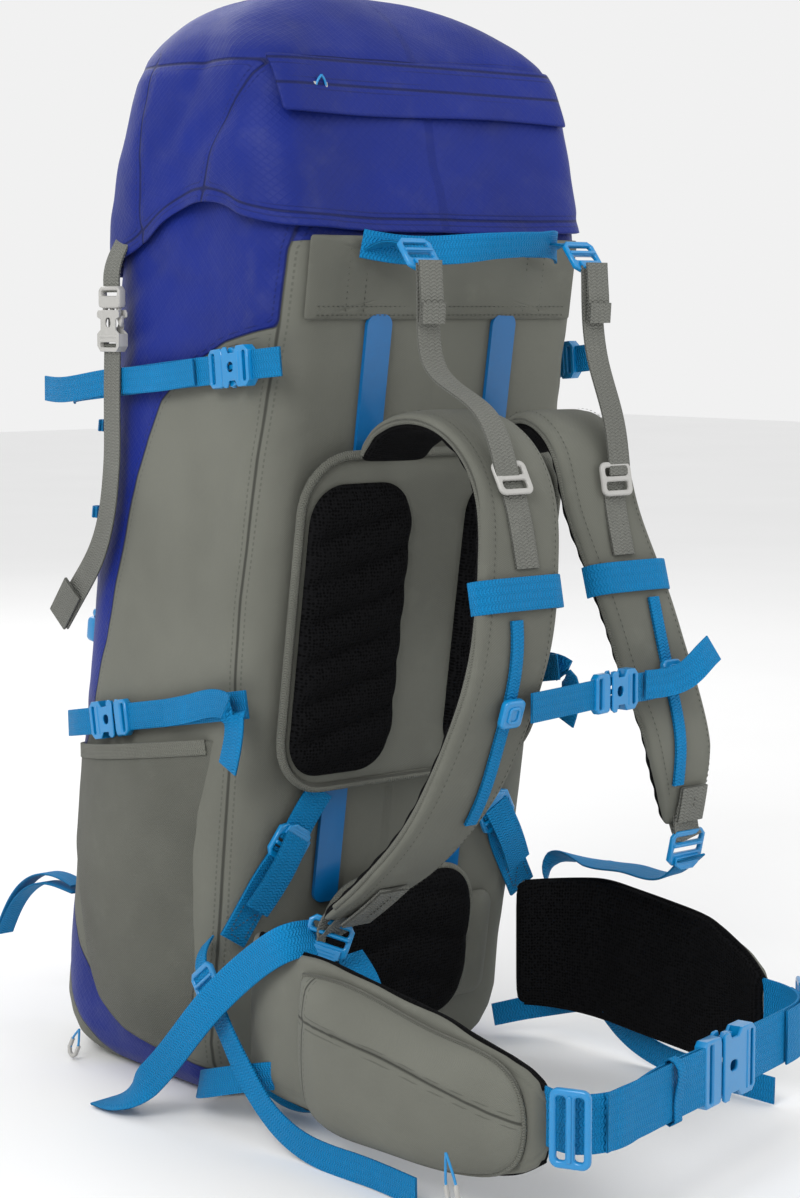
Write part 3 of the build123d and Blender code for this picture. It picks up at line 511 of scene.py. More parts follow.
def puff(name, outline, place, height, material, body, rings=18, power=5.0, low=0.0, levels=1,
         rim=None, seam=None):
    """A pad over a 2-D outline, flat behind and crowned in front by height(x, y, s).

    place(xy, out) turns outline points into positions.
    """
    outline = np.asarray(outline, float)
    centre = outline.mean(0)
    s = np.sin(np.linspace(0, 1, rings) * math.pi / 2) ** 0.9
    flat = centre + s[:, None, None] * (outline - centre)[None]
    fall = (1 - s**power) ** 0.5
    h = np.array(fall)[:, None] * height(flat[..., 0], flat[..., 1], s[:, None])
    front = place(flat, low + h)[1:]
    around = len(outline)
    middle = place(centre[None], np.array([low + float(height(centre[0], centre[1], np.array(0.0)))]))[0]
    behind = place(outline, np.full(around, low))
    verts = np.vstack([front.reshape(-1, 3), middle, place(centre[None], np.array([low]))[0]])
    count = rings - 1
    faces = grid_faces(count, around, True)
    top, bottom, last = count * around, count * around + 1, (count - 1) * around
    faces += [(top, (c + 1) % around, c) for c in range(around)]
    faces += [(bottom, last + c, last + (c + 1) % around) for c in range(around)]
    uv = np.vstack([flat[1:].reshape(-1, 2), centre, centre])
    numbers = seam and {"tone": np.full(len(uv), 60.0), "seam": seam(uv[:, 0], uv[:, 1])}
    piece = make(name, verts, faces, material, body, uv, sharp=60, levels=levels, numbers=numbers)
    bm_flip(piece)
    if rim:
        radius, rim_material, rim_slot = rim
        ring = np.vstack([behind, behind[:1]])
        ring = ring + (place(outline, np.full(around, low + 1.0)) - behind).mean(0) * radius
        side = unit(np.cross(unit(np.gradient(ring, axis=0)), (0.31, 0.23, 0.92)))
        sweep(name + "_piping", ring, side, radius, radius, ROUND_PROFILE, rim_material, body)
    return piece


def bm_flip(piece):
    """Make a closed piece's faces point outwards."""
    data = bmesh.new()
    data.from_mesh(piece.data)
    bmesh.ops.recalc_face_normals(data, faces=data.faces)
    data.to_mesh(piece.data)
    data.free()


def rounded_outline(half_x, half_y, radius, cx=0.0, cy=0.0, each=10):
    """Rounded rectangle with points along its sides too."""
    points = []
    for sx, sy, start in ((1, 1, 0), (-1, 1, 90), (-1, -1, 180), (1, -1, 270)):
        for k in range(each + 1):
            a = math.radians(start + 90 * k / each)
            points.append((cx + sx * (half_x - radius) + radius * math.cos(a),
                           cy + sy * (half_y - radius) + radius * math.sin(a)))
    closed = points + points[:1]
    out = []
    for (xa, ya), (xb, yb) in zip(closed, closed[1:]):
        steps = max(1, int(math.hypot(xb - xa, yb - ya) / 5))
        out += [(xa + (xb - xa) * k / steps, ya + (yb - ya) * k / steps) for k in range(steps)]
    return np.array(out)


def on_back(flat, out):
    """Points from (x, length up the back) and distance out of the back face."""
    flat, out = np.asarray(flat, float), np.asarray(out, float)
    y = BACK_Y - flat[..., 1] * LEAN / STEP_UP - out / STEP_UP
    z = flat[..., 1] / STEP_UP - out * LEAN / STEP_UP
    return np.stack([flat[..., 0], y, z], -1)


BACK_OUT = np.array([0, -1, -LEAN]) / STEP_UP


# --- moulded parts: rounded plates cut from outlines ----------------------------------------------
def rect(long, wide, radius, cx=0.0, cy=0.0):
    points = []
    for sx, sy, start in ((1, 1, 0), (-1, 1, 90), (-1, -1, 180), (1, -1, 270)):
        for k in range(6):
            a = math.radians(start + 18 * k)
            points.append((cx + sx * (long / 2 - radius) + radius * math.cos(a),
                           cy + sy * (wide / 2 - radius) + radius * math.sin(a)))
    return points


def mirrored(points):
    return list(points) + [(x, -y) for x, y in reversed(points)]


class Moulding:
    """Plates and bars in one local frame, merged into one piece."""

    def __init__(self, origin, x_dir, normal):
        self.origin = np.array(origin, float)
        self.normal = unit(normal)
        self.x = unit(np.array(x_dir, float) - np.dot(x_dir, self.normal) * self.normal)
        self.y = np.cross(self.normal, self.x)
        self.verts, self.faces = [], []

    def plate(self, loops, thick, bevel=0.8, lift=0.0, tilt=0.0):
        curve = bpy.data.curves.new("outline", "CURVE")
        curve.dimensions, curve.fill_mode = "2D", "BOTH"
        curve.extrude, curve.bevel_depth = (thick / 2 - bevel) * MM, bevel * MM
        curve.bevel_resolution, curve.offset = 2, -bevel * MM
        for loop in loops:
            run = curve.splines.new("POLY")
            run.points.add(len(loop) - 1)
            for point, (x, y) in zip(run.points, loop):
                point.co = (x * MM, y * MM, 0, 1)
            run.use_cyclic_u = True
        maker = bpy.data.objects.new("outline", curve)
        scene.collection.objects.link(maker)
        graph = bpy.context.evaluated_depsgraph_get()
        made = bpy.data.meshes.new_from_object(maker.evaluated_get(graph))
        local = np.array([v.co for v in made.vertices]) / MM
        first = sum(len(v) for v in self.verts)
        local[:, 2] += lift + local[:, 0] * tilt
        self.verts.append(self.origin + local[:, :1] * self.x + local[:, 1:2] * self.y + local[:,
                2:] * self.normal)
        self.faces += [tuple(first + i for i in face.vertices) for face in made.polygons]
        bpy.data.objects.remove(maker)
        bpy.data.curves.remove(curve)
        bpy.data.meshes.remove(made)
        return self

    def piece(self, name, material, body, slot, *nodes):
        made = make(name, np.vstack(self.verts), self.faces, material, body, sharp=38)
        if nodes:
            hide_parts(*nodes)
        return made


SOCKET, PLATE, PRONG, MOUTH = 30.0, 16.0, 13.0, 2.0


def socket(name, origin, x_dir, normal, webbing, material, body, slot, scale=1.0):
    """Socket half: two skins with side windows, a solid tail and a slot for the webbing."""
    half, long, s = webbing / 2 + 4, SOCKET * scale, scale
    tail = -MOUTH - 17 * s
    skin = mirrored([(-MOUTH, half - 1.5), (-MOUTH - 2, half), (-MOUTH - 5 * s, half),
                     (-MOUTH - 7 * s, half - 4.5),
                     (-MOUTH - 14 * s, half - 4.5), (tail, half), (-MOUTH - long + 4, half),
                     (-MOUTH - long, half - 4)])
    block = mirrored([(tail, half), (-MOUTH - long + 4, half), (-MOUTH - long, half - 4)])
    slit = rect(3.6, webbing + 0.6, 1.2, -MOUTH - long + 5)
    window = rect(7 * s, 7, 3.2, -MOUTH - 9 * s)
    made = Moulding(origin, x_dir, normal)
    for side in (1, -1):
        made.plate([skin, slit, window], 1.7 * s, 0.7, side * 3.35 * s)
    made.plate([block, slit], 8.0 * s, 1.6)
    made.plate([rect(2.6, webbing + 2, 1.1, -MOUTH - long + 11)], 9.4 * s, 1.0)
    return made.piece(name, material, body, slot)


def plug(name, origin, x_dir, normal, webbing, material, body, slot, scale=1.0, replace=()):
    """Plug half: plate with a webbing bar, two sprung arms and a centre tongue."""
    half, long, reach = webbing / 2 + 3.5, PLATE * scale, PRONG * scale
    made = Moulding(origin, x_dir, normal)
    base = mirrored([(-1, half - 5), (0, half - 1), (2, half), (long - 4, half), (long - 1, half - 3)])
    made.plate([base, rect(3.8, webbing + 0.6, 1.2, long / 2 + 2)], 6.6 * scale, 1.5)
    for side in (1, -1):
        arm = [(2, side * (half - 7)), (-reach * 0.55, side * (half - 6.2)),
               (-reach * 0.95, side * (half - 4)),
               (-reach - 1, side * (half - 1.6)), (-reach * 0.75, side * half),
               (-reach * 0.5, side * (half - 0.2)),
               (-reach * 0.42, side * (half - 3)), (2, side * (half - 3))]
        made.plate([arm if side > 0 else arm[::-1]], 2.7 * scale, 0.6)
    made.plate([rect(reach * 0.9, 3.6, 1.2, -reach * 0.42)], 2.4 * scale, 0.6)
    return made.piece(name, material, body, slot, *replace)


def lock_on(made, webbing, pointed=False):
    """Ladder-lock: frame, two bars and a raised thumb tab with grip ribs."""
    half = webbing / 2 + 4
    nose = [(13, half - 6), (16, half - 12), (17, 0)] if pointed else [(13, half - 5)]
    frame_loop = mirrored([(-13, half - 4), (-9, half), (9, half), *nose])
    made.plate([frame_loop, rect(4.6, webbing + 1, 1.4, -6.5), rect(4.6, webbing + 1, 1.4, 1.5)], 4.0, 1.3)
    made.plate([rect(2.6, webbing + 4, 1.0, -2.5)], 5.2, 1.0, 0.6)
    lip = mirrored([(6, webbing / 2 - 1), (12, webbing / 2 - 1), (15.5, webbing / 2 - 6)])
    made.plate([lip], 2.4, 0.9, 1.6, 0.16)
    for k in range(3):
        made.plate([rect(0.9, webbing - 9, 0.4, 9 + 2.2 * k)], 1.0, 0.35, 3.9 + 0.4 * k)
    return made


# side-release buckles on the bag's sides
UPPER_RISE, LOWER_RISE = -0.096, -0.18
UPPER_MOUTH, LOWER_MOUTH, PLUG_REAR = -160.0, -24.0, PLATE - 0.4


def upper_z(y):
    return 517 + UPPER_RISE * y


def lower_z(y):
    return 269 + LOWER_RISE * y


lid_y, lid_out, lid_mouth = -30.0, 5.0, 574.0
for side, hand in SIDES:
    face = (side, 0, 0)
    high = (side * SIDE_X, UPPER_MOUTH, upper_z(UPPER_MOUTH))
    low = (side * SIDE_X, LOWER_MOUTH, lower_z(LOWER_MOUTH))
    tie = (side * (SIDE_X + lid_out), lid_y, lid_mouth)
    made = [
        socket(f"upper_buckle_{hand}", high, (0, 1, UPPER_RISE), face, WEB_NARROW, M_PLASTIC, "pack",
               "blue_plastic"),
        socket(f"lower_buckle_{hand}", low, (0, -1, -LOWER_RISE), face, WEB_NARROW, M_PLASTIC, "pack",
               "blue_plastic"),
    ]
    if side < 0:
        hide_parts("compression_sockets")
    plug(f"upper_clip_{hand}", high, (0, 1, UPPER_RISE), face, WEB_NARROW, M_PLASTIC, f"upper_plug_{hand}",
         "blue_plastic", replace=(f"upper_plug_{hand}",))
    plug(f"lower_clip_{hand}", low, (0, -1, -LOWER_RISE), face, WEB_NARROW, M_PLASTIC, f"lower_plug_{hand}",
         "blue_plastic", replace=(f"lower_plug_{hand}",))
    holder = socket(f"lid_buckle_{hand}", tie, UP, face, WEB_NARROW, M_PALE, "pack", "grey_plastic")
    clip = plug(f"lid_clip_{hand}", tie, UP, face, WEB_NARROW, M_PALE, "lid_straps", "grey_plastic")
    if side < 0:
        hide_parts("lid_sockets")
        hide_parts("lid_plugs")

# ladder-locks on the back: torso straps, load lifters, stabilisers
LIFT_X, LIFT_Y, LIFT_Z = 76.0, -284.0, 609.0
STABILISER, STABILISER_OUT = (-152.0, 101.0), {"right": 14.0, "left": 22.0}
for side, hand in SIDES:
    centre = on_back((side * 99, 194 * STEP_UP), 6.5)
    lock = lock_on(Moulding(centre, (-side * 0.62, -LEAN, 1), BACK_OUT), WEB_MID)
    torso = lock.piece(f"torso_lock_{hand}", M_PLASTIC, "pack", "blue_plastic")
    lifter = lock_on(Moulding((side * LIFT_X, LIFT_Y + 8, LIFT_Z), (0, -0.62, -0.78), (0, -0.78, 0.62)),
                     WEB_NARROW)
    lifter.piece(f"lifter_lock_{hand}", M_PLASTIC, "pack", "blue_plastic")
    steady = Moulding((side * (SIDE_X + STABILISER_OUT[hand]), *STABILISER), (0, -0.6, -0.8), (side, 0, 0))
    lock_on(steady, WEB_NARROW, True).piece(f"stabiliser_lock_{hand}", M_PLASTIC, "pack", "blue_plastic")
    if side < 0:
        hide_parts("ladder_locks")

# --- shoulder straps ------------------------------------------------------------------------------
STRAP_THICK = 14.0
STRAP_SIDE = {
    "right": ((-227, 469), (-245, 487), (-278, 498), (-314, 493), (-349, 467), (-371, 410),
              (-379, 354), (-366, 304), (-343, 251), (-303, 202), (-246, 160)),
    "left": ((-227, 469), (-243, 486), (-268, 495), (-292, 482), (-306, 439), (-320, 385),
             (-340, 317), (-352, 272), (-350, 240), (-344, 212)),
}
STRAP_FRONT = {
    "right": ((56, 520), (64, 440), (86, 360), (92, 300), (106, 230), (128, 140)),
    "left": ((56, 520), (64, 440), (84, 360), (92, 300), (104, 240), (114, 195)),
}


class Strap:
    """The line down the middle of one shoulder strap, with its outward direction."""

    def __init__(self, side, hand, count=160):
        fine = spline(STRAP_SIDE[hand], 600)
        run = np.r_[0, np.cumsum(np.linalg.norm(np.diff(fine, axis=0), axis=1))]
        even = np.linspace(0, run[-1], count)
        yz = np.stack([np.interp(even, run, fine[:, 0]), np.interp(even, run, fine[:, 1])], 1)
        rows = sorted(STRAP_FRONT[hand], key=lambda row: row[1])
        x = np.interp(yz[:, 1], [r[1] for r in rows], [r[0] for r in rows])
        x = np.convolve(np.r_[[x[0]] * 8, x, [x[-1]] * 8], np.ones(17) / 17, "valid")
        self.side, self.line = side, np.column_stack([side * x, yz])
        ahead = unit(np.gradient(yz, axis=0))
        self.out = np.column_stack([np.zeros(count), ahead[:, 1], -ahead[:, 0]])
        self.ahead = np.column_stack([np.zeros(count), ahead])

    def index(self, z):
        """Row of the strap, past its top, at height z."""
        low = int(len(self.line) * 0.3)
        return low + int(np.argmin(abs(self.line[low:, 2] - z)))

    def part(self, high, low, offset, across=None):
        """The stretch between two heights, offset outwards, at its own distance from the middle plane."""
        a, b = self.index(high), self.index(low)
        line = self.line[a:b + 1] + self.out[a:b + 1] * offset
        if across is not None:
            line[:, 0] = self.side * across
        return line


FACE, TRIM = STRAP_THICK / 2, STRAP_THICK / 2 + 1.2
PLACES = {
    "right": {"ladder": (486, 404, 72), "glide": 462, "band": 389, "rail": (374, 240, 88),
              "tab": (196, 165, 118), "lock": 126},
    "left": {"ladder": (478, 400, 72), "glide": 452, "band": 385, "rail": (370, 242, 92),
             "tab": (240, 216, 108), "lock": 112},
}
STERNUM_Z = 316.0
straps = {hand: Strap(side, hand) for side, hand in SIDES}


def strap_relief(t, across, through, grid):
    """Soft edges, a channel near each edge of the outer face and a slightly uneven foam."""
    channel = -0.9 * np.exp(-((abs(across) - 0.8) / 0.05) ** 2) * (through > 0)
    quilt = 0.5 * np.sin(t * 150) * np.exp(-((abs(across) - 0.93) / 0.12) ** 2) * (through < 0)
    return channel + quilt + 0.5 * ripple(grid, 70, 11)


for side, hand in SIDES:
    strap, place = straps[hand], PLACES[hand]
    t = np.linspace(0, 1, len(strap.line))
    half = np.interp(t, (0, 0.05, 0.12, 0.7, 0.86, 0.95, 1), (27, 31, 33, 33, 29, 21, 15))
    thick = np.interp(t, (0, 0.06, 0.9, 1), (5.5, 7, 7, 4.5))
    foam = sweep(f"strap_foam_{hand}", strap.line, ACROSS, half, thick, superellipse(36, 0.4, 0.55), M_GREY,
                 "harness",
                 inner=M_MESH, levels=1, relief=strap_relief, blunt=9)
    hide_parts(f"shoulder_strap_{hand}")
    for edge in (-1, 1):
        rim = strap.line.copy()
        rim[:, 0] += edge * (half - 0.6)
        tube(f"strap_binding_{hand}_{'in' if edge * side < 0 else 'out'}", rim[2:-2:6], 2.0, "harness",
             M_PIPING, 110)
        row = strap.line + strap.out * (thick + 0.1)[:, None]
        row[:, 0] += edge * (half * 0.8)
        stitches(f"strap_stitch_{hand}_{'in' if edge * side < 0 else 'out'}", row[6:-6:6],
                 np.array(strap.out[80]), "harness")

    high, low, across = place["ladder"]
    ladder = web(f"strap_ladder_{hand}", strap.part(high, low, TRIM, across), WEB_NARROW, ACROSS, "harness",
                 M_WEB_GREY)
    high, low, across = place["rail"]
    web(f"strap_rail_{hand}", strap.part(high, low, TRIM + 0.6, across), 10, ACROSS, "harness", thick=2.4)
    at = strap.index(place["band"])
    middle, out = strap.line[at], strap.out[at]
    hoop = [(-35.5, -5), (-36.5, 3), (-30, 8.6), (-14, 10.6), (0, 11.2), (14, 10.6), (30, 8.6), (36.5, 3),
            (35.5, -5)]
    band = web(f"strap_band_{hand}", [middle + ACROSS * a + out * b for a, b in hoop], 22, strap.ahead[at],
               "harness", thick=1.4)
    high, low, across = place["tab"]
    web(f"strap_tab_{hand}", strap.part(high, low, TRIM + 1.6, across), WEB_MID, ACROSS, "harness",
        M_WEB_GREY,
              thick=3.4)
    stitches(f"tab_stitch_{hand}", strap.part(high - 4, low + 4, TRIM + 3.4, across)[::2], strap.out[-10],
             "harness")
    end, ahead, out = strap.line[-1], strap.ahead[-1], strap.out[-1]
    centre = end + ahead * 17 + out * 8
    centre[0] = side * place["lock"]
    web(f"lock_loop_{hand}", [end - ahead * 14 + out * 5, end + ahead * 2 + out * 7, centre - ahead * 6,
                              centre - ahead * 9 - out * 3,
                              end - ahead * 12 - out * 4], WEB_MID - 1, ACROSS, "harness", M_WEB_GREY)
    if side < 0:
        centre, ahead, out = centre + (-4, -8, 2), np.array([-0.35, 0.1, -0.93]), np.array([-0.55, -0.8, 0.1])
    lock = lock_on(Moulding(centre, ahead, out), WEB_MID).piece(f"strap_lock_{hand}", M_PLASTIC, "harness",
            "blue_plastic")
    at = strap.index(place["glide"])
    centre = strap.line[at] + strap.out[at] * (FACE + 4.6)
    centre[0] = side * 72
    glide = Moulding(centre, strap.ahead[at], strap.out[at])
    glide.plate([rect(24, WEB_NARROW + 9, 5), rect(6, WEB_NARROW + 1, 2, -5),
                 rect(6, WEB_NARROW + 1, 2, 5)], 3.2, 1.3)
    glide = glide.piece(f"strap_glide_{hand}", M_PALE, "harness", "grey_plastic")
    at = strap.index(STERNUM_Z)
    centre = strap.line[at] + strap.out[at] * (TRIM + 4.6)
    centre[0] = side * place["rail"][2]
    slider = Moulding(centre, strap.ahead[at], strap.out[at])
    slider.plate([rect(20, 18, 4)], 5.5, 1.6).plate([rect(12, 10, 3), rect(8, 6, 2)], 1.6, 0.5, 3.0)
    slider.piece(f"sternum_runner_{hand}", M_PLASTIC, f"sternum_slider_{hand}", "blue_plastic",
                 f"sternum_slider_{hand}")
    if side < 0:
        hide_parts("strap_webbing")
        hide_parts("strap_bands")
        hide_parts("strap_locks")
        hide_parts("strap_glides")

# --- sternum strap --------------------------------------------------------------------------------
STERNUM_START, STERNUM_END = np.array([-76.0, -386.0]), np.array([74.0, -358.0])
run = unit(STERNUM_END - STERNUM_START)
mouth = STERNUM_START + run * 88
origin, back, face = (*mouth, STERNUM_Z), (-run[0], -run[1], 0), (run[1], -run[0], 0)
clip = socket("sternum_buckle", origin, back, face, WEB_NARROW, M_PLASTIC, "sternum_strap", "blue_plastic")
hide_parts("sternum_socket")
plug("sternum_clip", origin, back, face, WEB_NARROW, M_PLASTIC, "sternum_plug", "blue_plastic",
     replace=("sternum_plug",))
near_end, far_start = mouth - run * (PLATE - 5), mouth + run * (SOCKET + MOUTH - 4)
near = web("sternum_web_near", [(*(STERNUM_START + (0, -3)), STERNUM_Z), (*near_end, STERNUM_Z)],
           WEB_NARROW, UP,
           ("sternum_strap", "sternum_plug", (*STERNUM_START, STERNUM_Z), (*near_end, STERNUM_Z)))
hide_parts("sternum_webbing")
web("sternum_web_far", [(*far_start, STERNUM_Z), (*((far_start + STERNUM_END) / 2), STERNUM_Z - 1),
                        (*(STERNUM_END + run * 8), STERNUM_Z)], WEB_NARROW, UP, "sternum_strap")
web("sternum_web_fold", [(*(far_start + run * 14 + (0, -3)), STERNUM_Z + 1),
                         (*(STERNUM_END + (0, -8)), STERNUM_Z + 1),
                         (92, -367, 321), (108, -366, 330), (124, -361, 336)], WEB_NARROW,
    [(0, 0, 1), (0, 0.1, 1), (0, 0.25, 1), (-0.1, 0.4, 1), (-0.15, 0.45, 1)], "sternum_strap")

# --- load lifters and haul loop -------------------------------------------------------------------
for side, hand in SIDES:
    strap = straps[hand]
    ring = strap.index(PLACES[hand]["glide"] + 3)
    foot = strap.line[ring] + strap.out[ring] * (FACE + 5)
    route = [(LIFT_Y - 1, LIFT_Z - 6), (LIFT_Y - 2, LIFT_Z - 40), (LIFT_Y - 8, 536),
             (foot[1] * 0.7 + LIFT_Y * 0.3 - 1, foot[2] + 42),
             (foot[1], foot[2])]
    lifter = web(f"lifter_web_{hand}", [(side * LIFT_X, y, z) for y, z in route], WEB_NARROW, ACROSS,
                 ("back_pad", "harness", (side * LIFT_X, LIFT_Y, LIFT_Z - 10),
                  (side * LIFT_X, foot[1], foot[2])),
                 M_WEB_GREY)
    tail = [(side * (LIFT_X + 1), y, z) for y, z in ((LIFT_Y - 5, LIFT_Z - 4), (LIFT_Y - 6, LIFT_Z - 20),
                                                     (LIFT_Y - 7, LIFT_Z - 34),
                                                     (LIFT_Y - 6, LIFT_Z - 46))]
    web(f"lifter_tail_{hand}", tail, WEB_NARROW, ACROSS, "pack", M_WEB_GREY)
    web(f"lifter_end_{hand}", [(x, y - 2.2, z) for x, y, z in ((side * (LIFT_X + 1), LIFT_Y - 7, LIFT_Z - 32),
                                                               (side * (LIFT_X + 1), LIFT_Y - 6,
                                                                       LIFT_Z - 46))],
        WEB_NARROW, ACROSS, "pack", M_WEB_GREY, wave=0)
    web(f"lifter_anchor_{hand}", [(side * LIFT_X, -226, LIFT_Z + 1), (side * LIFT_X, -250, LIFT_Z + 9),
                                           (side * LIFT_X, LIFT_Y + 13, LIFT_Z + 7)], WEB_NARROW, ACROSS,
                                           "pack")
    if side < 0:
        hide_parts("lifter_webbing")
haul = web("haul_grip", [(-86, -228, 617), (-66, -242, 613), (-30, -255, 613), (10, -258, 616),
                         (50, -256, 618),
                         (76, -246, 618), (92, -230, 615)], WEB_NARROW,
           [(0, 0.2, 1), (0, 0.1, 1), (0, 0.1, 1), (0, -0.5, 1), (0, -0.7, 1), (0, -0.2, 1), (0, 0.1, 1)],
           "pack", thick=2.2)
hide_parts("haul_loop")

# --- bag ------------------------------------------------------------------------------------------
RUNS = (14, 10, 28, 20, 12)


def section(half, back, front, back_r, front_r):
    """Closed rounded rectangle from the middle of its back, anticlockwise."""
    inner_back, inner_front = half - back_r, half - front_r
    points = []
    n = RUNS

    def straight(a, b, count):
        return [(a[0] + (b[0] - a[0]) * k / count, a[1] + (b[1] - a[1]) * k / count) for k in range(count)]

    def arc(cx, cy, r, start, count):
        return [(cx + r * math.cos(math.radians(start + 90 * k / count)),
                 cy + r * math.sin(math.radians(start + 90 * k / count))) for k in range(count)]

    points += straight((0, back), (inner_back, back), n[0])
    points += arc(inner_back, back + back_r, back_r, -90, n[1])
    points += straight((half, back + back_r), (half, front - front_r), n[2])
    points += arc(inner_front, front - front_r, front_r, 0, n[3])
    points += straight((inner_front, front), (0, front), n[4])
    return np.array(points + [(0, front)] + [(-x, y) for x, y in points[:0:-1]])


LEVELS = np.array([     # z, half width, back in, front in, front radius, back radius
    (0, 118, 12, 32, 70, 30), (5, 128, 8, 22, 74, 31), (14, 137, 4, 12, 80, 33), (28, 143, 1.5, 4, 85, 34),
    (45, 146, 0, 0, 88, 34), (330, 147, 0, 0, 88, 34), (612, 144, 0, 0, 88, 34), (632, 143, 6, 5, 88, 34),
    (652, 141, 16, 12, 88, 34),
])


def bag_section(z):
    half, back_in, front_in, front_r, back_r = (np.interp(z, LEVELS[:, 0], LEVELS[:, k]) for k in (1, 2, 3,
            4, 5))
    return section(half, back_y(z) + back_in, back_y(z) + DEPTH - front_in, back_r, front_r)


SWOOSH = np.array([(-190, 16), (-120, 22), (-69, 30), (-30, 40), (10, 58), (45, 90), (69, 122), (88, 170),
                   (96, 240)], float)


def grey_side(y, z):
    """Signed distance in mm on the bag's sides: positive where the cloth is grey."""
    edge = np.array([(75, 115), (60, 200), (21, 280), (0, 335), (-21, 392), (-36, 436), (-58, 480),
                     (-74, 508),
                     (-100, 530), (-150, 550), (-215, 564), (-240, 568)], float)
    inside = y < np.interp(z, edge[:, 1], edge[:, 0])
    upper = near_line(y, z, edge) * np.where(inside, 1, -1)
    over = z > np.interp(y, *SWOOSH.T)
    lower = near_line(y, z, SWOOSH) * np.where(over, 1, -1)
    toe = np.array([(0, -6), (22, 10), (52, 34), (78, 72), (98, 112), (140, 130)], float)
    under = z < np.interp(y, toe[:, 0], toe[:, 1])
    third = near_line(y, z, toe) * np.where(under & (y > 0), 1, -1)
    return np.maximum(np.minimum(upper, lower), third)


heights = np.r_[np.linspace(0, 45, 16), np.linspace(50, 652, 126)]
wall = np.array([np.column_stack([bag_section(z), np.full(2 * sum(RUNS), z)]) for z in heights])
columns = wall.shape[1]
x, y, z = wall[..., 0], wall[..., 1], wall[..., 2]
to_back = y - back_y(z)
out = normals(wall, True)
tone = grey_side(y, z)
side_seam = to_back - np.interp(z, (0, 155, 372, 470, 560, 620), (13, 14, 19, 16, 11, 10))
tone = np.where(to_back < 30, np.where(z < 622, np.maximum(tone, np.where(abs(x) > 90, -side_seam, 60.0)),
                                       -40.0), tone)
tone = np.where((z < 40) & (to_back < 36) & (abs(x) < 128), 60.0, tone)
seam = np.where(abs(x) > 90, side_seam, np.sign(side_seam) * 60)
on_side = np.clip((abs(x) - 120) / 20, 0, 1)
pull_in = -2.6 * np.exp(-((z - upper_z(y)) / 13) ** 2) - 2.2 * np.exp(-((z - lower_z(y)) / 13) ** 2)
folds = 1.9 * ripple(wall, 210, 3) + 0.8 * ripple(wall, 80, 4, (1, 1, 0.6)) + 0.25 * ripple(wall, 33, 6)
pleats = 0.9 * np.sin((y + 0.6 * z) / 13) * np.exp(-((z - upper_z(y) - 18) / 16) ** 2)
pleats += 1.6 * np.sin((y - 0.4 * z) / 11 + 1.0) * np.clip((z - 585) / 40, 0, 1)
creases = np.zeros_like(z)
for line, deep in ((((-190, 505), (-150, 455), (-120, 400)), 1.4),
                   (((-120, 250), (-90, 200), (-70, 130)), 1.1),
                   (((-40, 440), (-20, 380), (5, 330)), 1.3), (((-60, 560), (-10, 540), (40, 500)), 2.0),
                   (((-200, 600), (-150, 585), (-90, 590)), 1.8), (((-90, 620), (-40, 585), (20, 560)), 1.7)):
    creases -= deep * np.exp(-(near_line(y, z, line) / 7) ** 2) * on_side
flat_back = np.clip((abs(x) - 100) / 30, 0, 1)
push = (on_side * (pull_in + pleats) + folds * np.where(to_back < 25, 0.25 + 0.5 * flat_back,
                                                        1) + creases - 0.8)
push -= 1.3 * np.exp(-(seam / 3.0) ** 2) + 0.9 * np.exp(-(tone / 2.6) ** 2)
push *= np.clip(z / 25, 0, 1)
wall = wall + out * push[..., None]
base = [wall[0] * (s, s, 0) + (0, -10 * (1 - s), 0.0) for s in (0.02, 0.3, 0.6, 0.85)]
grid = np.vstack([np.array(base), wall])
uv = grid_uv(grid)
tones = np.vstack([np.full((4, columns), 50.0), tone])
seams = np.vstack([np.full((4, columns), 50.0), seam])
bag = make("bag_body", grid.reshape(-1, 3), grid_faces(len(grid), columns, True), M_BAG, "pack",
           uv,
           sharp=180, levels=1, numbers={"tone": tones, "seam": seams})
lining = bag.modifiers.new("lining", "SOLIDIFY")
lining.thickness, lining.offset = 0.0022, -1
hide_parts("base_panel", "back_panel", "front_panel", "side_panel_right", "side_panel_left",
            "frame_sheet")

# collar, gathered on its cord
rows = []
for z in np.linspace(644, 679, 12):
    k = (z - 650) / 26
    ring = section(HALF_WIDTH - 6 - 8 * k, back_y(z) + 17 + 13 * k, back_y(z) + DEPTH - 13 - 13 * k, 34, 88)
    rows.append(np.column_stack([ring, np.full(len(ring), z)]))
rows = np.array(rows)
turn = np.arange(rows.shape[1]) / rows.shape[1] * TURN
gather = (1.2 * np.sin(turn * 34) + 0.8 * np.sin(turn * 21 + 1)) * np.linspace(0, 1, 12)[:, None]
rows = rows + normals(rows, True) * (gather - 2.0)[..., None]
collar = make("collar_gather", rows.reshape(-1, 3), grid_faces(12, rows.shape[1], True), M_BLUE, "pack",
              grid_uv(rows), sharp=180, levels=1)
collar.modifiers.new("cloth", "SOLIDIFY").thickness = 0.0012
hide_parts("collar")

# --- back: top band, stays, pads ------------------------------------------------------------------
band_shape = rounded_outline(124, 29, 2.5, 0, 594 * STEP_UP, 4)


def band_height(x, y, s):
    channels = sum(np.exp(-((x - c) / 1.6) ** 2) for c in (-92, -72, 72, 92))
    return 3.6 - 1.3 * channels + 0.6 * np.sin(x / 15) * np.cos(y / 11)


band = puff("top_band_pad", band_shape, on_back, band_height, M_GREY, "pack", 22, 9, 0.3, 1)
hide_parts("top_band")
for side, hand in SIDES:
    for k in (74, 90):
        stitches(f"band_stitch_{hand}_{k}", on_back([(side * k, 568 * STEP_UP), (side * k, 620 * STEP_UP)],
                                                    3.3), BACK_OUT, "pack")
for k in (569, 575):
    stitches(f"band_stitch_{k}", on_back([(-118, k * STEP_UP), (118, k * STEP_UP)], 3.8), BACK_OUT, "pack")

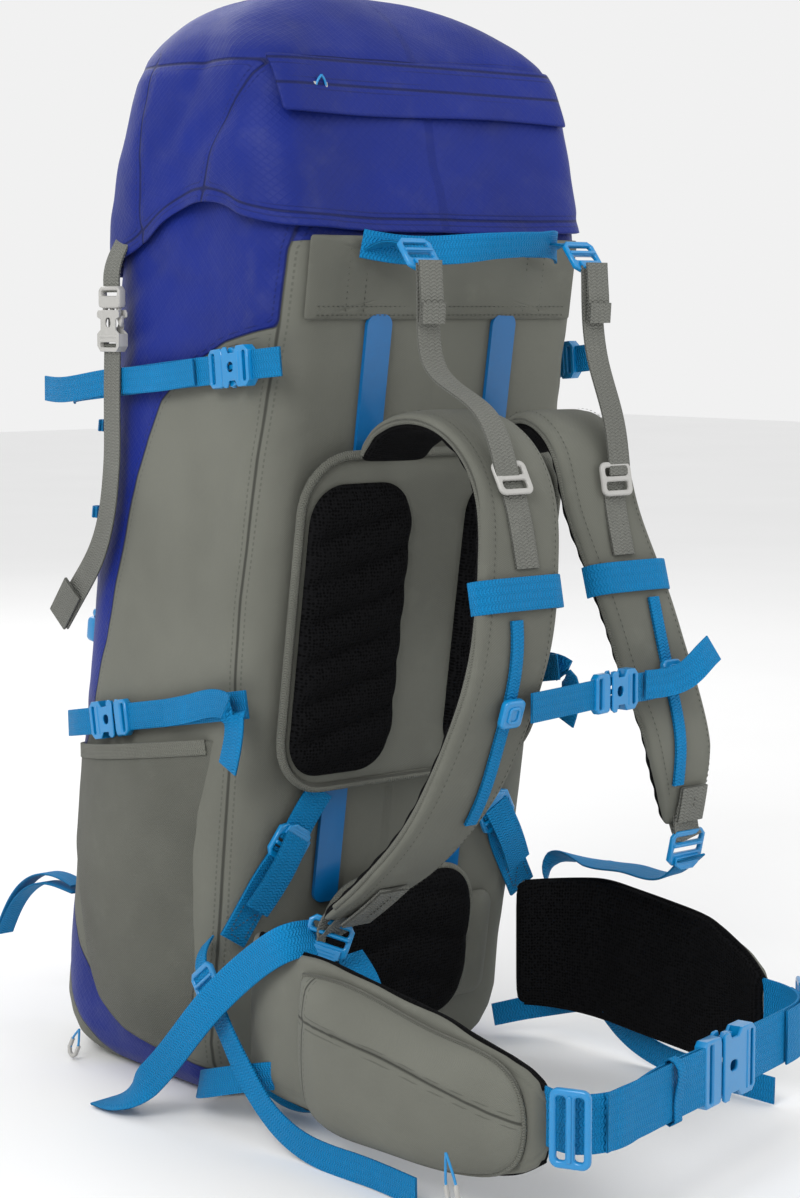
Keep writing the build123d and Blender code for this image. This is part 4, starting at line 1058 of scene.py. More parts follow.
PAD_MID, PAD_HALF_TALL = 355 * STEP_UP, 119 * STEP_UP
board_shape = rounded_outline(120, PAD_HALF_TALL, 40, 0, PAD_MID)
board = puff("back_board", board_shape, on_back, lambda x, y,
             s: 8.0 + 0.6 * np.sin(x / 30) * np.cos(y / 37), M_GREY, "back_pad",
             16, 8, 9.4, 1, rim=(3.4, M_PIPING, "grey_fabric"))
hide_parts("yoke_panel")


def quilt(centre, side):
    """Foam with diagonal sewn channels, mirrored on the two sides."""
    def height(x, y, s):
        slant = (y - PAD_MID) + side * 0.38 * (x - centre) + 3 * np.sin((x - centre) / 24)
        return 5.4 + 6.0 * abs(np.cos(slant * math.pi / 29)) ** 0.6 + 0.5 * np.sin(x / 9) * np.sin(y / 12)
    return height


for side, hand in SIDES:
    shape = rounded_outline(45, PAD_HALF_TALL - 15, 28, side * 71, PAD_MID - 4)
    pad = puff(f"quilt_pad_{hand}", shape, on_back, quilt(side * 71, side), M_MESH, "back_pad",
               60, 7, 17.0, 1)
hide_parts("quilt_pads")
web("pad_tab", on_back([(-104, 266 * STEP_UP), (-106, 284 * STEP_UP)], 20.0), 10, ACROSS, "back_pad", wave=0)

core = puff("belt_bridge", rounded_outline(107, 42, 12, 0, 90 * STEP_UP), on_back,
            lambda x, y, s: 15 + 0.5 * np.sin(x / 16), M_GREY, "pack", 14, 9, 0.5, 1)
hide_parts("belt_core")


def lumbar_height(x, y, s):
    slots = abs(np.cos((y - 104 * STEP_UP + 0.25 * abs(x)) * math.pi / 34)) ** 0.5
    return 14 + 4.6 * slots


lumbar = puff("lumbar_cushion", rounded_outline(70, 60, 34, 0, 104 * STEP_UP), on_back, lumbar_height,
              M_MESH, "pack",
              26, 5, 16.5, 1, rim=(2.6, M_PIPING, "grey_fabric"))
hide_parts("lumbar_pad")
for node in ("frame_stays",):
    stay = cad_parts[node]
    stay.data.materials.clear()
    stay.data.materials.append(M_STAY)

# torso-length straps
for side, hand in SIDES:
    lean = np.array([-side * 0.62, -LEAN, 1.0])
    lean /= np.linalg.norm(lean)
    crossing = unit(np.cross(lean, BACK_OUT))
    low_tab, lock_at = on_back((side * 126, 149 * STEP_UP), 2.5), on_back((side * 99, 194 * STEP_UP), 6.5)
    high_end = on_back((side * 78, 229 * STEP_UP), 8)
    sewn = web(f"torso_tab_{hand}", [low_tab - lean * 26, low_tab, low_tab + lean * 22, lock_at - lean * 5],
               WEB_MID, crossing,
               "pack", thick=2.6, wave=0)
    web(f"torso_web_{hand}", [lock_at + lean * 1 + BACK_OUT * 1.5, lock_at + lean * 14,
                              high_end + lean * 4], WEB_MID, crossing,
        ("pack", "back_pad", lock_at, high_end), wave=0)
    web(f"torso_tail_{hand}", [lock_at + lean * 8 + BACK_OUT * 4, lock_at - lean * 3 + BACK_OUT * 6,
                               lock_at - lean * 26 + BACK_OUT * 7,
                               lock_at - lean * 52 + BACK_OUT * 4], WEB_MID - 2, crossing, "pack")
    box = [low_tab + lean * a + crossing * b + BACK_OUT * 1.6 for a,
           b in ((-22, -8), (-22, 8), (2, 8), (2, -8), (-22, -8), (2, 8))]
    for k in range(5):
        stitches(f"torso_stitch_{hand}_{k}", box[k:k + 2], BACK_OUT, "pack", M_THREAD, 3.4, 2.4)
    if side < 0:
        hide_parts("torso_straps")

# --- hip belt -------------------------------------------------------------------------------------
BELT_Z = 80.0
WING = {
    "right": {
        "line": ((-121, -161), (-136, -177), (-148, -208), (-151, -246), (-152, -300), (-150, -400),
                 (-143, -478)),
        "top": ((-490, 101), (-380, 127), (-270, 139), (-200, 137), (-140, 132)),
        "bottom": ((-490, 46), (-398, 25), (-264, 31), (-140, 36)),
        "pocket": ((-257, 128), (-300, 130), (-400, 116), (-462, 96), (-468, 72), (-462, 50), (-420, 32),
                   (-330, 28), (-262, 40),
                   (-252, 84)),
        "deep": 22.0, "fold": -246.0,
    },
    "left": {
        "line": ((121, -161), (138, -178), (154, -212), (158, -246), (160, -290), (159, -340), (154, -388)),
        "top": ((-400, 100), (-327, 131), (-223, 142), (-140, 132)),
        "bottom": ((-400, 60), (-330, 26), (-267, 30), (-140, 42)),
        "pocket": ((-262, 122), (-300, 123), (-345, 115), (-372, 100), (-377, 78), (-372, 58), (-345, 40),
                   (-300, 35), (-266, 42),
                   (-257, 82)),
        "deep": 17.0, "fold": -246.0,
    },
}


def wing_relief(t, across, through, grid):
    piping = -1.2 * np.exp(-((abs(across) - 0.86) / 0.05) ** 2)
    rolls = 1.2 * np.sin(t * 34 + across * 1.5) * (through < 0) * (1 - across**2)
    return piping + rolls + 0.7 * ripple(grid, 60, 21)


for side, hand in SIDES:
    wing = WING[hand]
    line = spline(wing["line"], 110)
    top = np.interp(line[:, 1], *np.array(wing["top"], float).T)
    bottom = np.interp(line[:, 1], *np.array(wing["bottom"], float).T)
    top, bottom = (np.convolve(np.r_[[v[0]] * 6, v, [v[-1]] * 6], np.ones(13) / 13, "valid") for v in (top,
            bottom))
    centre = np.column_stack([line, (top + bottom) / 2])
    reach = np.r_[0, np.cumsum(np.linalg.norm(np.diff(line, axis=0), axis=1))]
    from_tip = reach[-1] - reach
    half = (top - bottom) / 2 * np.interp(from_tip, (0, 6, 16, 34), (0.62, 0.82, 0.95, 1))
    wing_body = sweep(f"belt_foam_{hand}", centre, UP * -side, half, 8.0, superellipse(40, 0.45, 0.5), M_GREY,
                      ("pack", f"belt_wing_{hand}", (side * 150, wing["fold"] + 12, 80),
                       (side * 150, wing["fold"] - 12, 80)),
                      inner=M_MESH, levels=1, relief=wing_relief, blunt=8)
    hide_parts(f"belt_wing_{hand}")
    if side < 0:
        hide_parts("belt_wing_roots")
    for edge, name in ((1, "top"), (-1, "bottom")):
        rim = centre.copy()
        rim[:, 2] += edge * (half - 0.8)
        tube(f"belt_binding_{hand}_{name}", rim[3:-1:7], 2.2, (
            "pack", f"belt_wing_{hand}", (side * 150, wing["fold"] + 12, 80),
            (side * 150, wing["fold"] - 12, 80)),
            M_MESH, 90)

    middle = np.array([np.interp(v, line[::-1, 1], line[::-1, 0]) for v in np.linspace(-490, -240, 60)])
    along = np.linspace(-490, -240, 60)

    def on_wing(flat, out, middle=middle, along=along, side=side):
        flat, out = np.asarray(flat, float), np.asarray(out, float)
        x = np.interp(flat[..., 0], along, middle) + side * out
        return np.stack([np.broadcast_to(x, flat[..., 0].shape), flat[..., 0], flat[..., 1]], -1)

    shape = spline(np.vstack([wing["pocket"], wing["pocket"][:1]]), 90)[:-1]
    first, last = shape[:, 0].max(), shape[:, 0].min()

    def flap_line(y, first=first, last=last):
        t = (first - y) / (first - last)
        return 101 + 14 * np.sin(t * 2.6) - 34 * t

    def pocket_seam(y, z, first=first, flap_line=flap_line):
        return nearest(z - flap_line(y), first - y - 17 - 0.06 * (z - 80))

    def pocket_height(y, z, s, wing=wing, first=first, last=last, flap_line=flap_line):
        t = (first - y) / (first - last)
        flap = flap_line(y)
        seam = np.exp(-((z - flap) / 2.2) ** 2)
        belly = 0.78 + 0.22 * np.sin(np.clip(t, 0, 1) * math.pi) ** 0.7
        lip = 1.6 * np.exp(-((z - flap - 5) / 5) ** 2)
        soft = ripple(np.stack([y * 0, y, z], -1), 75, 31) * 1.3 + ripple(np.stack([y * 0, y, z], -1), 34,
                32) * 0.5
        drape = 0.8 * np.sin(t * 22 + z / 18) * np.clip((0.35 - t) / 0.35, 0, 1)
        return wing["deep"] * belly - 2.4 * seam + lip + (soft + drape) * (1 - s**4)

    pouch = puff(f"belt_pouch_{hand}", shape, on_wing, pocket_height, M_BAG, f"belt_wing_{hand}",
                 44, 3.4, 8.0, 1,
                 rim=(1.6, M_PIPING, "grey_fabric"), seam=pocket_seam)
    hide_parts(f"belt_pocket_{hand}")

BELT_SCALE = 1.4
belt_near, belt_far = np.array([-131.0, -511.0]), np.array([119.0, -447.0])
run = unit(belt_far - belt_near)
mouth = belt_near + run * 145
origin, back, face = (*mouth, BELT_Z), (-run[0], -run[1], 0), (run[1], -run[0], 0)
clip = socket("belt_buckle", origin, back, face, WEB_BELT, M_PLASTIC, "belt_strap_left", "blue_plastic",
              BELT_SCALE)
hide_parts("belt_socket")
plug("belt_clip", origin, back, face, WEB_BELT, M_PLASTIC, "belt_strap_right", "blue_plastic", BELT_SCALE,
     ("belt_plug",))
plug_end, socket_end = mouth - run * (PLATE * BELT_SCALE - 4), mouth + run * (SOCKET * BELT_SCALE + MOUTH - 6)
ROUTES = {
    "right": ((-143, -476), (-142, -500), (-126, -509.5), (-80, -499), tuple(plug_end)),
    "left": ((153.5, -386), (150, -412), (134, -437), (100, -452), tuple(socket_end)),
}
for side, hand in SIDES:
    route = np.array([(*p, BELT_Z) for p in ROUTES[hand]])
    main = web(f"belt_web_{hand}", route, WEB_BELT, UP, f"belt_strap_{hand}", thick=1.9, wave=0.5)
    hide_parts(f"belt_webbing_{hand}")
    inward = np.array([0, -3.2, 0.6])
    second = route[2:] + inward if side < 0 else route[1:] + (2.2, -2.4, -0.8)
    web(f"belt_fold_{hand}", second[:-1] if side > 0 else second, WEB_BELT, UP, f"belt_strap_{hand}",
        thick=1.8, wave=0.8)
    if side < 0:
        keeper = route[3] * 0.55 + route[4] * 0.45
        hoop = [keeper + unit(np.array([run[1], -run[0], 0])) * a + UP * b
                for a, b in ((5.4, -19), (5.6, 0), (5.4, 19), (0, 21.5), (-3, 19), (-3.2, 0), (-3, -19),
                             (0, -21.5), (5.4, -19))]
        web("belt_keeper", hoop, 9, (*run, 0), f"belt_strap_{hand}", thick=1.4, wave=0)
x_dir = (0.5, -1, 0)
slider = Moulding((-150, -505, BELT_Z), x_dir, (-1, -0.5, 0))
slider.plate([rect(27, WEB_BELT + 12, 6), rect(6, WEB_BELT + 2, 2, -6), rect(6, WEB_BELT + 2, 2, 6)], 4.6,
             1.7)
slider.plate([rect(3.2, WEB_BELT + 4, 1.4)], 6.4, 1.3, 0.6)
slider.piece("belt_slider_right", M_PLASTIC, "belt_strap_right", "blue_plastic")
slider = Moulding((158, -416, BELT_Z), (-0.9, -1, 0), (1, -0.9, 0))
slider.plate([rect(24, WEB_BELT + 9, 5), rect(5, WEB_BELT + 1, 2, -5), rect(5, WEB_BELT + 1, 2, 5)], 3.2, 1.3)
slider.piece("belt_slider_left", M_PLASTIC, "belt_strap_left", "blue_plastic")


def zip_pull(name, at, out, along, body, node, loop=22.0, cord=M_PLASTIC):
    """Pull: a thin cord loop that ends in a moulded U grip."""
    at, out, along = np.array(at, float), unit(out), unit(along)
    wide = np.cross(out, along)
    grip = Moulding(at + along * loop * 0.45, along, out)
    shape = [(-5, 6.2), (4, 6.2), (8, 3.4), (8.8, 0), (8, -3.4), (4, -6.2), (-5, -6.2), (-5, -3.4),
             (3, -3.4), (5.4, -1.6),
             (5.8, 0), (5.4, 1.6), (3, 3.4), (-5, 3.4)]
    grip.plate([shape[::-1]], 3.0, 1.0)
    made = grip.piece(name, M_PALE, body, "grey_plastic", node)
    ring = [at - along * loop * 0.5, at - along * 2 + wide * 3, at + along * loop * 0.35 + wide * 4.8,
            at + along * loop * 0.62 + wide * 4.0]
    for sign, label in ((1, "a"), (-1, "b")):
        points = [p if k == 0 else p - wide * 2 * np.dot(p - at, wide) * (sign < 0) for k,
                  p in enumerate(ring)]
        tube(f"{name}_loop_{label}", points, 0.9, body, cord, 20)
    return made


zip_pull("belt_pull_near", (-190.5, -440, 44), (-1, 0, 0), (0, -0.25, -1), "belt_zip_right",
         "belt_zip_pull_right", 26)
zip_pull("belt_pull_far", (188.5, -350, 44), (1, 0, 0), (0, -0.25, -1), "belt_zip_left",
         "belt_zip_pull_left", 24)
zip_pull("bottom_pull", (-SIDE_X + 1, 40, 17), (-1, 0, 0.1), (0, 0.5, -1), "bottom_zip", "bottom_zip_pull",
         18)

# --- webbing on the sides -------------------------------------------------------------------------
for side, hand in SIDES:
    face = side * SIDE_X
    start = UPPER_MOUTH - SOCKET - MOUTH
    near = web(f"upper_web_back_{hand}", [(face - side * 4, start - 26, upper_z(start - 26)), (face - side,
            start - 12, upper_z(start - 12)),
                                          (face, start + 6, upper_z(start + 6))], WEB_NARROW, UP, "pack")
    web(f"upper_web_front_{hand}", [(face, UPPER_MOUTH + PLUG_REAR - 5, upper_z(-145)),
                                    (face, -90, upper_z(-90)), (face, -30, upper_z(-30)),
                                    (face - side * 3, 30, upper_z(30)),
                                    (face - side * 22, 62, upper_z(60))], WEB_NARROW, UP,
        ("pack", f"upper_plug_{hand}", (face, -60, 520), (face, -130, 520)))
    web(f"upper_tail_{hand}", [(face + side * 3, -128, upper_z(-128)),
                               (face + side * 3.4, -80, upper_z(-80) - 1),
                               (face + side * 2.8, -20, upper_z(-20) + 1), (face + side * 1, 40, upper_z(40)),
                               (face - side * 10, 84, upper_z(84) + 4)], WEB_NARROW - 1, UP,
        ("pack", f"upper_plug_{hand}", (face, -60, 520), (face, -130, 520)))
    web(f"lower_web_back_{hand}", [(face - side * 4, -178, lower_z(-178)), (face, -120, lower_z(-120)),
                                   (face, LOWER_MOUTH - PLUG_REAR + 5, lower_z(-36))], WEB_NARROW, UP,
        ("pack", f"lower_plug_{hand}", (face, -110, 285), (face, -60, 280)))
    web(f"lower_web_front_{hand}", [(face, LOWER_MOUTH + SOCKET + MOUTH - 6, lower_z(3)),
                                    (face, 30, lower_z(30)),
                                    (face - side * 10, 58, lower_z(58))], WEB_NARROW, UP, "pack")
    web(f"lower_fold_{hand}", [(face + side * 2.6, -86, lower_z(-86)),
                               (face + side * 3.4, -124, lower_z(-124) + 2),
                               (face + side * 5, -160, lower_z(-160) + 2),
                               (face + side * 7, -176, lower_z(-176) - 6),
                               (face + side * 9, -178, lower_z(-176) - 26),
                               (face + side * 9, -172, lower_z(-176) - 44)], WEB_NARROW,
        [(0, 0, 1), (0, 0, 1), (0, 0.2, 1), (0, 0.8, 0.7), (0, 1, 0.1), (0, 1, 0.1)], "pack")
    if side < 0:
        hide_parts("compression_webbing")

    tie = side * (SIDE_X + lid_out)
    strap_up = web(f"lid_web_{hand}", [(tie, lid_y, lid_mouth + PLUG_REAR - 5), (tie, lid_y, 597),
                                       (tie - side * 3, lid_y, 608),
                                       (tie - side * 12, lid_y, 624)], WEB_NARROW, DEEP, "lid_straps",
                                       M_WEB_GREY)
    hang = web(f"lid_tail_{hand}", [(tie, lid_y, lid_mouth - SOCKET - MOUTH + 6),
                                    (tie + side * 1, -30, 510), (tie, -27, 462),
                                    (tie, -10, 401), (tie - side * 2, 22, 366), (tie - side * 6, 52, 340)],
                                    WEB_NARROW, DEEP, "pack",
               M_WEB_GREY)
    web(f"lid_tail_end_{hand}", [(tie + side * 2.2, 24, 366), (tie - side * 3.6, 54, 340)], WEB_NARROW + 1,
        DEEP, "pack", M_WEB_GREY,
        thick=2.2, wave=0)
    if side < 0:
        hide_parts("lid_strap_webbing")
        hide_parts("lid_lower_webbing")

# --- stabiliser straps and the lower shoulder webbing ---------------------------------------------
lock_y, lock_z = STABILISER
for side, hand in SIDES:
    far_out = side * (SIDE_X + STABILISER_OUT[hand])
    hold = web(f"stabiliser_web_{hand}", [(far_out, lock_y + 8, lock_z + 10), (far_out, lock_y - 14, 82),
                                          (far_out, -190, 54), (far_out, -222, 26),
                                          (far_out, -266, 11), (far_out - side * 2, -320, 10),
                                          (far_out, -380, 10.5)], WEB_NARROW,
               (0, 0.5, 1), "pack")
    low = far_out - side * 3.5
    web(f"stabiliser_low_{hand}", [(side * (SIDE_X - 10), -112, 16), (low - side * 2, -136, 24),
                                   (low, -180, 38), (side * 153, -226, 50)], WEB_NARROW,
        (0, -0.3, 1), "pack")
    web(f"stabiliser_top_{hand}", [(side * (SIDE_X - 5), -128, 124), (far_out - side * 4, -140, 115),
                                   (far_out, lock_y + 5, lock_z + 7)],
        WEB_NARROW - 5, (0, 0.8, -0.6), "pack")
    if side < 0:
        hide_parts("stabiliser_webbing")
slack = web("lower_slack", [(-108, -240, 130), (-106, -256, 112), (-106, -262, 90), (-106, -256, 52),
                            (-106, -222, 18), (-106, -165, 12),
                            (-106, -136, 24)], WEB_MID, ACROSS,
                            ("back_pad", "harness", (-106, -160, 20), (-106, -258, 110)))
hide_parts("lower_webbing")
web("lower_tail", [(-134, -238, 146), (-160, -240, 147), (-168, -214, 130), (-181, -164, 82),
                   (-192, -116, 28), (-196, -96, 13),
                   (-195, -66, 3)], WEB_MID,
    [(0.1, 0.5, 0.9), (0, 0.3, 1), (0, 0.3, 1), (0, 0.5, 0.9), (0, 0.5, 0.9), (0.6, 0.3, 0.5),
     (1, 0.1, 0.04)],
    ("back_pad", "harness", (-170, -206, 122), (-142, -240, 147)))
web("lower_reach", [(114, -352, 186), (118, -330, 170), (133, -275, 162), (147, -222, 156),
                    (160, -170, 150), (164, -148, 132)], WEB_MID,
    [(1, 0, 0), (1, 0.2, 0), (1, 0.2, 0), (1, 0.3, 0), (0.8, 0.2, -0.5), (0.3, 0.9, -0.2)],
    ("back_pad", "harness", (162, -160, 140), (114, -345, 180)))

# --- lid ------------------------------------------------------------------------------------------
LID = np.array([    # z, half width, back, front, back radius, front radius
    (600, 149, -229, 46, 40, 88), (640, 152, -219, 38, 41, 87), (680, 153, -207, 28, 40, 86),
    (712, 150, -198, 17, 36, 84),
    (735, 146, -190, 8, 32, 80), (748, 141, -184, 1, 32, 76), (762, 130, -172, -10, 38, 68),
    (778, 110, -153, -22, 40, 60),
    (790, 84, -132, -36, 34, 44), (796, 59, -116, -48, 26, 30), (799, 28, -98, -66, 14, 14),
    (799.6, 3, -84, -80, 1.4, 1.4),
], float)
LID_EDGE = np.array([(-260, 626), (-196, 629), (-160, 644), (-131, 648), (-100, 641), (-77, 629),
                     (-50, 612), (0, 598), (100, 590)],
                    float)


def lid_section(z):
    values = [np.interp(z, LID[:, 0], LID[:, k]) for k in range(1, 6)]
    return section(*values)


level = lid_section(640)
edge = np.interp(level[:, 1], LID_EDGE[:, 0], LID_EDGE[:, 1])
edge = np.where(abs(level[:, 0]) < 100, np.where(level[:, 1] < -100, 626, edge), edge)
edge = np.convolve(np.r_[edge[-4:], edge, edge[:4]], np.ones(9) / 9, "valid")
rows = []
sections = {round(v, 1): lid_section(v) for v in np.arange(580, 800, 0.5)}
for k in np.linspace(0, 1, 34):
    heights = edge + (744 - edge) * k
    rows.append([(*sections[round(round(h * 2) / 2, 1)][c], h) for c, h in enumerate(heights)])
for h in (750, 756, 762, 769, 776, 783, 788.5, 792.5, 795.5, 797.5, 798.8, 799.6):
    ring = lid_section(h)
    rows.append([(*p, h) for p in ring])
rows = np.array(rows)
x, y, z = rows[..., 0], rows[..., 1], rows[..., 2]
out = normals(rows, True)
hem = z - edge[None]
corner_seam = (y - np.interp(z, (640, 690, 745), (-131, -147, -184))) * 0.85
corner = nearest(corner_seam, y + 61 + 0.05 * (z - 690))
seam = np.where((abs(x) > 105) & (z < 744), corner, np.sign(corner) * 60)
seam = nearest(seam, z - 743 - 1.5 * np.sin(x / 40), hem - 9)
folds = 2.8 * ripple(rows, 190, 41) + 1.5 * ripple(rows, 85, 42, (1, 1, 0.7)) + 0.6 * ripple(rows, 38, 43)
pinch = 1.5 * np.sin(y / 7.5 + 0.5 * np.sin(z / 20)) * np.exp(-(hem / 16) ** 2) * (abs(x) > 100)
drape = np.zeros_like(z)
for line, deep in ((((-184, 735), (-160, 705), (-120, 690)), 2.6),
                   (((-120, 740), (-100, 700), (-70, 670)), 2.2),
                   (((-30, 735), (-10, 690), (10, 640)), 2.4), (((-140, 690), (-110, 668), (-66, 655)), 2.0)):
    drape -= deep * np.exp(-(near_line(y, z, line) / 9) ** 2) * (abs(x) > 90)
for line, deep in ((((-120, 640), (-60, 668), (10, 672)), 1.8), (((20, 650), (70, 680), (120, 668)), 1.6),
                   (((-90, 690), (-30, 680), (40, 692)), 1.2)):
    drape -= deep * np.exp(-(near_line(x, z, line) / 8) ** 2) * (y < -150)
drape += 1.7 * ripple(rows, 62, 45, (1, 1, 0.3)) * np.clip((742 - z) / 20, 0, 1) * np.clip(hem / 18, 0, 1)
crown = 1.6 * ripple(rows, 120, 44) * np.clip((z - 748) / 20, 0, 1)
push = folds + pinch + drape + crown - 1.2 - 1.3 * np.exp(-(seam / 2.4) ** 2)
push *= np.clip((799.8 - z) / 8, 0, 1)
rows = rows + out * push[..., None]
last = (len(rows) - 1) * columns
verts = np.vstack([rows.reshape(-1, 3), rows[-1].mean(0)])
faces = grid_faces(len(rows), columns, True) + [(last + c, last + (c + 1) % columns,
                                                 len(verts) - 1) for c in range(columns)]
uv = grid_uv(rows)
lid = make("lid_cover", verts, faces, M_BAG, "lid", np.vstack([uv, uv[-1:]]), sharp=180,
           levels=1,
           numbers={"tone": np.full(len(verts), -60.0), "seam": np.append(seam, 60)})
lid.modifiers.new("cloth", "SOLIDIFY").thickness = 0.0018
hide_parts("lid_shell")

ring = lid_section(686) * 0.95 + (0, -4)
steps = np.linspace(0, 1, 14)[1:]
centre = ring.mean(0)
floor_grid = np.array([np.column_stack([centre + (ring - centre) * s,
                                        np.full(len(ring), 687.0)]) for s in steps])
floor_grid[..., 2] += 1.2 * ripple(floor_grid, 70, 51)
verts = np.vstack([floor_grid.reshape(-1, 3), [(*centre, 687)]])
faces = grid_faces(len(steps), columns, True) + [(len(verts) - 1, c,
                                                  (c + 1) % columns) for c in range(columns)]
lid_base = make("lid_lining", verts, faces, M_BLUE, "lid", sharp=180)
lid_base.modifiers.new("cloth", "SOLIDIFY").thickness = 0.0012
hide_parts("lid_floor")

# storm flap over the lid's zip
flap_rows = []
flap_x = np.linspace(-131, 131, 84)
back_line = {h: lid_section(h) for h in (706, 711, 716, 721, 726, 731, 736, 741, 745)}
for k, h in enumerate(back_line):
    ring = back_line[h]
    rear = ring[ring[:, 1] < ring[:, 1].min() + 40]
    rear = rear[np.argsort(rear[:, 0])]
    y = np.interp(flap_x, rear[:, 0], rear[:, 1])
    stand = 4.4 - 0.34 * k
    flap_rows.append(np.column_stack([flap_x, y - stand - 1.1 * np.sin(flap_x / 23 + 0.7) * (1 - k / 9),
                                      np.full(84, h) + 1.2 * np.sin(flap_x / 38)]))
flap_rows = np.array(flap_rows)
flap_seam = nearest(flap_rows[..., 2] - 725, flap_rows[..., 2] - 742.5)
flap = make("lid_flap", flap_rows.reshape(-1, 3), grid_faces(9, 84), M_BAG, "lid",
            grid_uv(flap_rows), sharp=180,
            levels=1, numbers={"tone": np.full(flap_seam.shape, -60.0), "seam": flap_seam})
flap.modifiers.new("cloth", "SOLIDIFY").thickness = 0.0016
zip_pull("lid_pull", (-96, -196.5, 726), (0, -1, 0.15), (0, 0.15, -1), "lid_zip", "lid_zip_pull", 10)

# --- stretch pockets ------------------------------------------------------------------------------
HEM = ((-260, 288), (-175, 276), (100, 234), (200, 230))


def arc_through(points, count):
    """Arc of a circle through three 2-D points."""
    (ax, ay), (bx, by), (cx, cy) = points
    matrix = 2 * np.array([[bx - ax, by - ay], [cx - ax, cy - ay]])
    centre = np.linalg.solve(matrix, [bx**2 - ax**2 + by**2 - ay**2, cx**2 - ax**2 + cy**2 - ay**2])
    first, last = (math.atan2(p[1] - centre[1], p[0] - centre[0]) for p in (points[0], points[2]))
    sweep_to = (last - first + math.pi) % TURN - math.pi
    angle = first + np.linspace(0, 1, count) * sweep_to
    radius = np.hypot(*(np.array(points[0]) - centre))
    return centre + radius * np.column_stack([np.cos(angle), np.sin(angle)])


for side, hand in SIDES:
    arc = arc_through(((144, -98), (162.5, 2), (121, 100)), 60)
    rows = []
    for k in np.linspace(0, 1, 48):
        y_top = arc[:, 1] - LEAN * 235
        rim = np.interp(y_top, *np.array(HEM, float).T)
        low = np.interp(arc[:, 1], *SWOOSH.T) + 1
        z = low + (rim - low) * k
        settle = 1 - np.clip((z - low + 2) / 48, 0, 1) ** 0.6
        lift = 1 - 0.35 * np.exp(-((k - 1.0) / 0.08) ** 2)
        x = arc[:, 0] - settle * (9 + 0.03 * abs(arc[:, 1])) - (1 - lift) * 1.5
        rows.append(np.column_stack([side * x, arc[:, 1] - LEAN * (z - 30) * 1.0, z]))
    rows = np.array(rows)
    if side < 0:
        rows = rows[:, ::-1]
    bulge = 1.3 * ripple(rows, 95, 61) + 0.4 * ripple(rows, 34, 62)
    rows = rows + normals(rows, False) * bulge[..., None]
    pocket = make(f"bottle_pocket_cloth_{hand}", rows.reshape(-1, 3), grid_faces(48, 60), M_POCKET, "pack",
                  grid_uv(rows),
                  sharp=180, levels=1)
    thick = pocket.modifiers.new("cloth", "SOLIDIFY")
    thick.thickness, thick.offset = 0.0015, -1
    if side < 0:
        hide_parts("bottle_pockets")
    rim = rows[-1] + (side * 0.4, 0, -4)
    web(f"bottle_hem_{hand}", rim[1:-1:4], 11, UP, "pack", M_PIPING, thick=2.4, wave=0)

FRONT_LOW = 70.0
front_edge = back_y(FRONT_LOW) + DEPTH
arc = arc_through(((-102, front_edge - 9), (0, front_edge + 20), (102, front_edge - 9)), 60)[::-1]
rows = []
for k in np.linspace(0, 1, 56):
    z = FRONT_LOW + 326 * k
    settle = np.exp(-k * 16) * 14
    ease = 2.5 * np.exp(-((k - 1) / 0.05) ** 2)
    rows.append(np.column_stack([arc[:, 0] * (1 - 0.06 * np.exp(-k * 10)),
                                 arc[:, 1] - settle - ease - LEAN * (z - FRONT_LOW), np.full(60, z)]))
rows = np.array(rows)
bulge = 1.6 * ripple(rows, 110, 71) + 0.6 * ripple(rows, 45, 72) - 1.0
rows = rows + normals(rows, False) * bulge[..., None]
seam = rows[..., 2] - 392
pocket = make("front_pocket_cloth", rows.reshape(-1, 3), grid_faces(56, 60), M_BAG, "pack",
              grid_uv(rows), sharp=180,
              levels=1, numbers={"tone": np.full(seam.shape, -60.0), "seam": seam})
thick = pocket.modifiers.new("cloth", "SOLIDIFY")
thick.thickness, thick.offset = 0.0015, -1
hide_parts("front_pocket")
for edge, label in ((0, "left"), (-1, "right")):
    line = rows[:, edge].copy() + (0, 1.5, 0)
    tube(f"front_piping_{label}", line[::5], 2.2, "pack", M_PIPING, 70)

# --- shock cord, cord lock, tool loops ------------------------------------------------------------
FRONT_OUT = np.array([0, 1, LEAN]) / STEP_UP
LACING = ((84, 300), (84, 350), (-84, 384), (84, 418), (-84, 452), (84, 486), (84, 520))


def on_front(across, up, out):
    """Point from the front's own coordinates: across runs to -X, up along the leaning face."""
    return np.array([-across, BACK_Y + DEPTH - up * LEAN / STEP_UP, up / STEP_UP]) + FRONT_OUT * out


curve = bpy.data.curves.new("bungee_cord", "CURVE")
curve.dimensions, curve.bevel_depth, curve.bevel_resolution, curve.resolution_u = "3D", 0.0016, 4, 16
run = curve.splines.new("NURBS")
bends = [on_front(a, b, 25.0) * MM for a, b in LACING]
route = [bends[0]]
for before, corner, after in zip(bends, bends[1:], bends[2:]):
    route += [corner + unit(before - corner) * 0.008, corner, corner + unit(after - corner) * 0.008]
route.append(bends[-1])
run.points.add(len(route) - 1)
for point, place in zip(run.points, route):
    point.co = (*place, 1)
run.order_u, run.use_endpoint_u = 3, True
curve.materials.append(cloth("shock_cord", CYAN, 1.0, "web", 0.6, 0.6))
bungee = bpy.data.objects.new("bungee_cord", curve)
scene.collection.objects.link(bungee)
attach(bungee, "pack")
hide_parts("bungee")
fine = np.array(route)
corners = [fine[0]] + [(a + b) / 2 for a, b in zip(fine[1:-2], fine[2:-1])] + [fine[-1]]
length = 0.0
t = np.linspace(0, 1, 200)[:, None]
for k, peak in enumerate(fine[1:-1]):
    bend = (1 - t) ** 2 * corners[k] + 2 * t * (1 - t) * peak + t**2 * corners[k + 1]
    length += float(np.linalg.norm(np.diff(bend, axis=0), axis=1).sum())
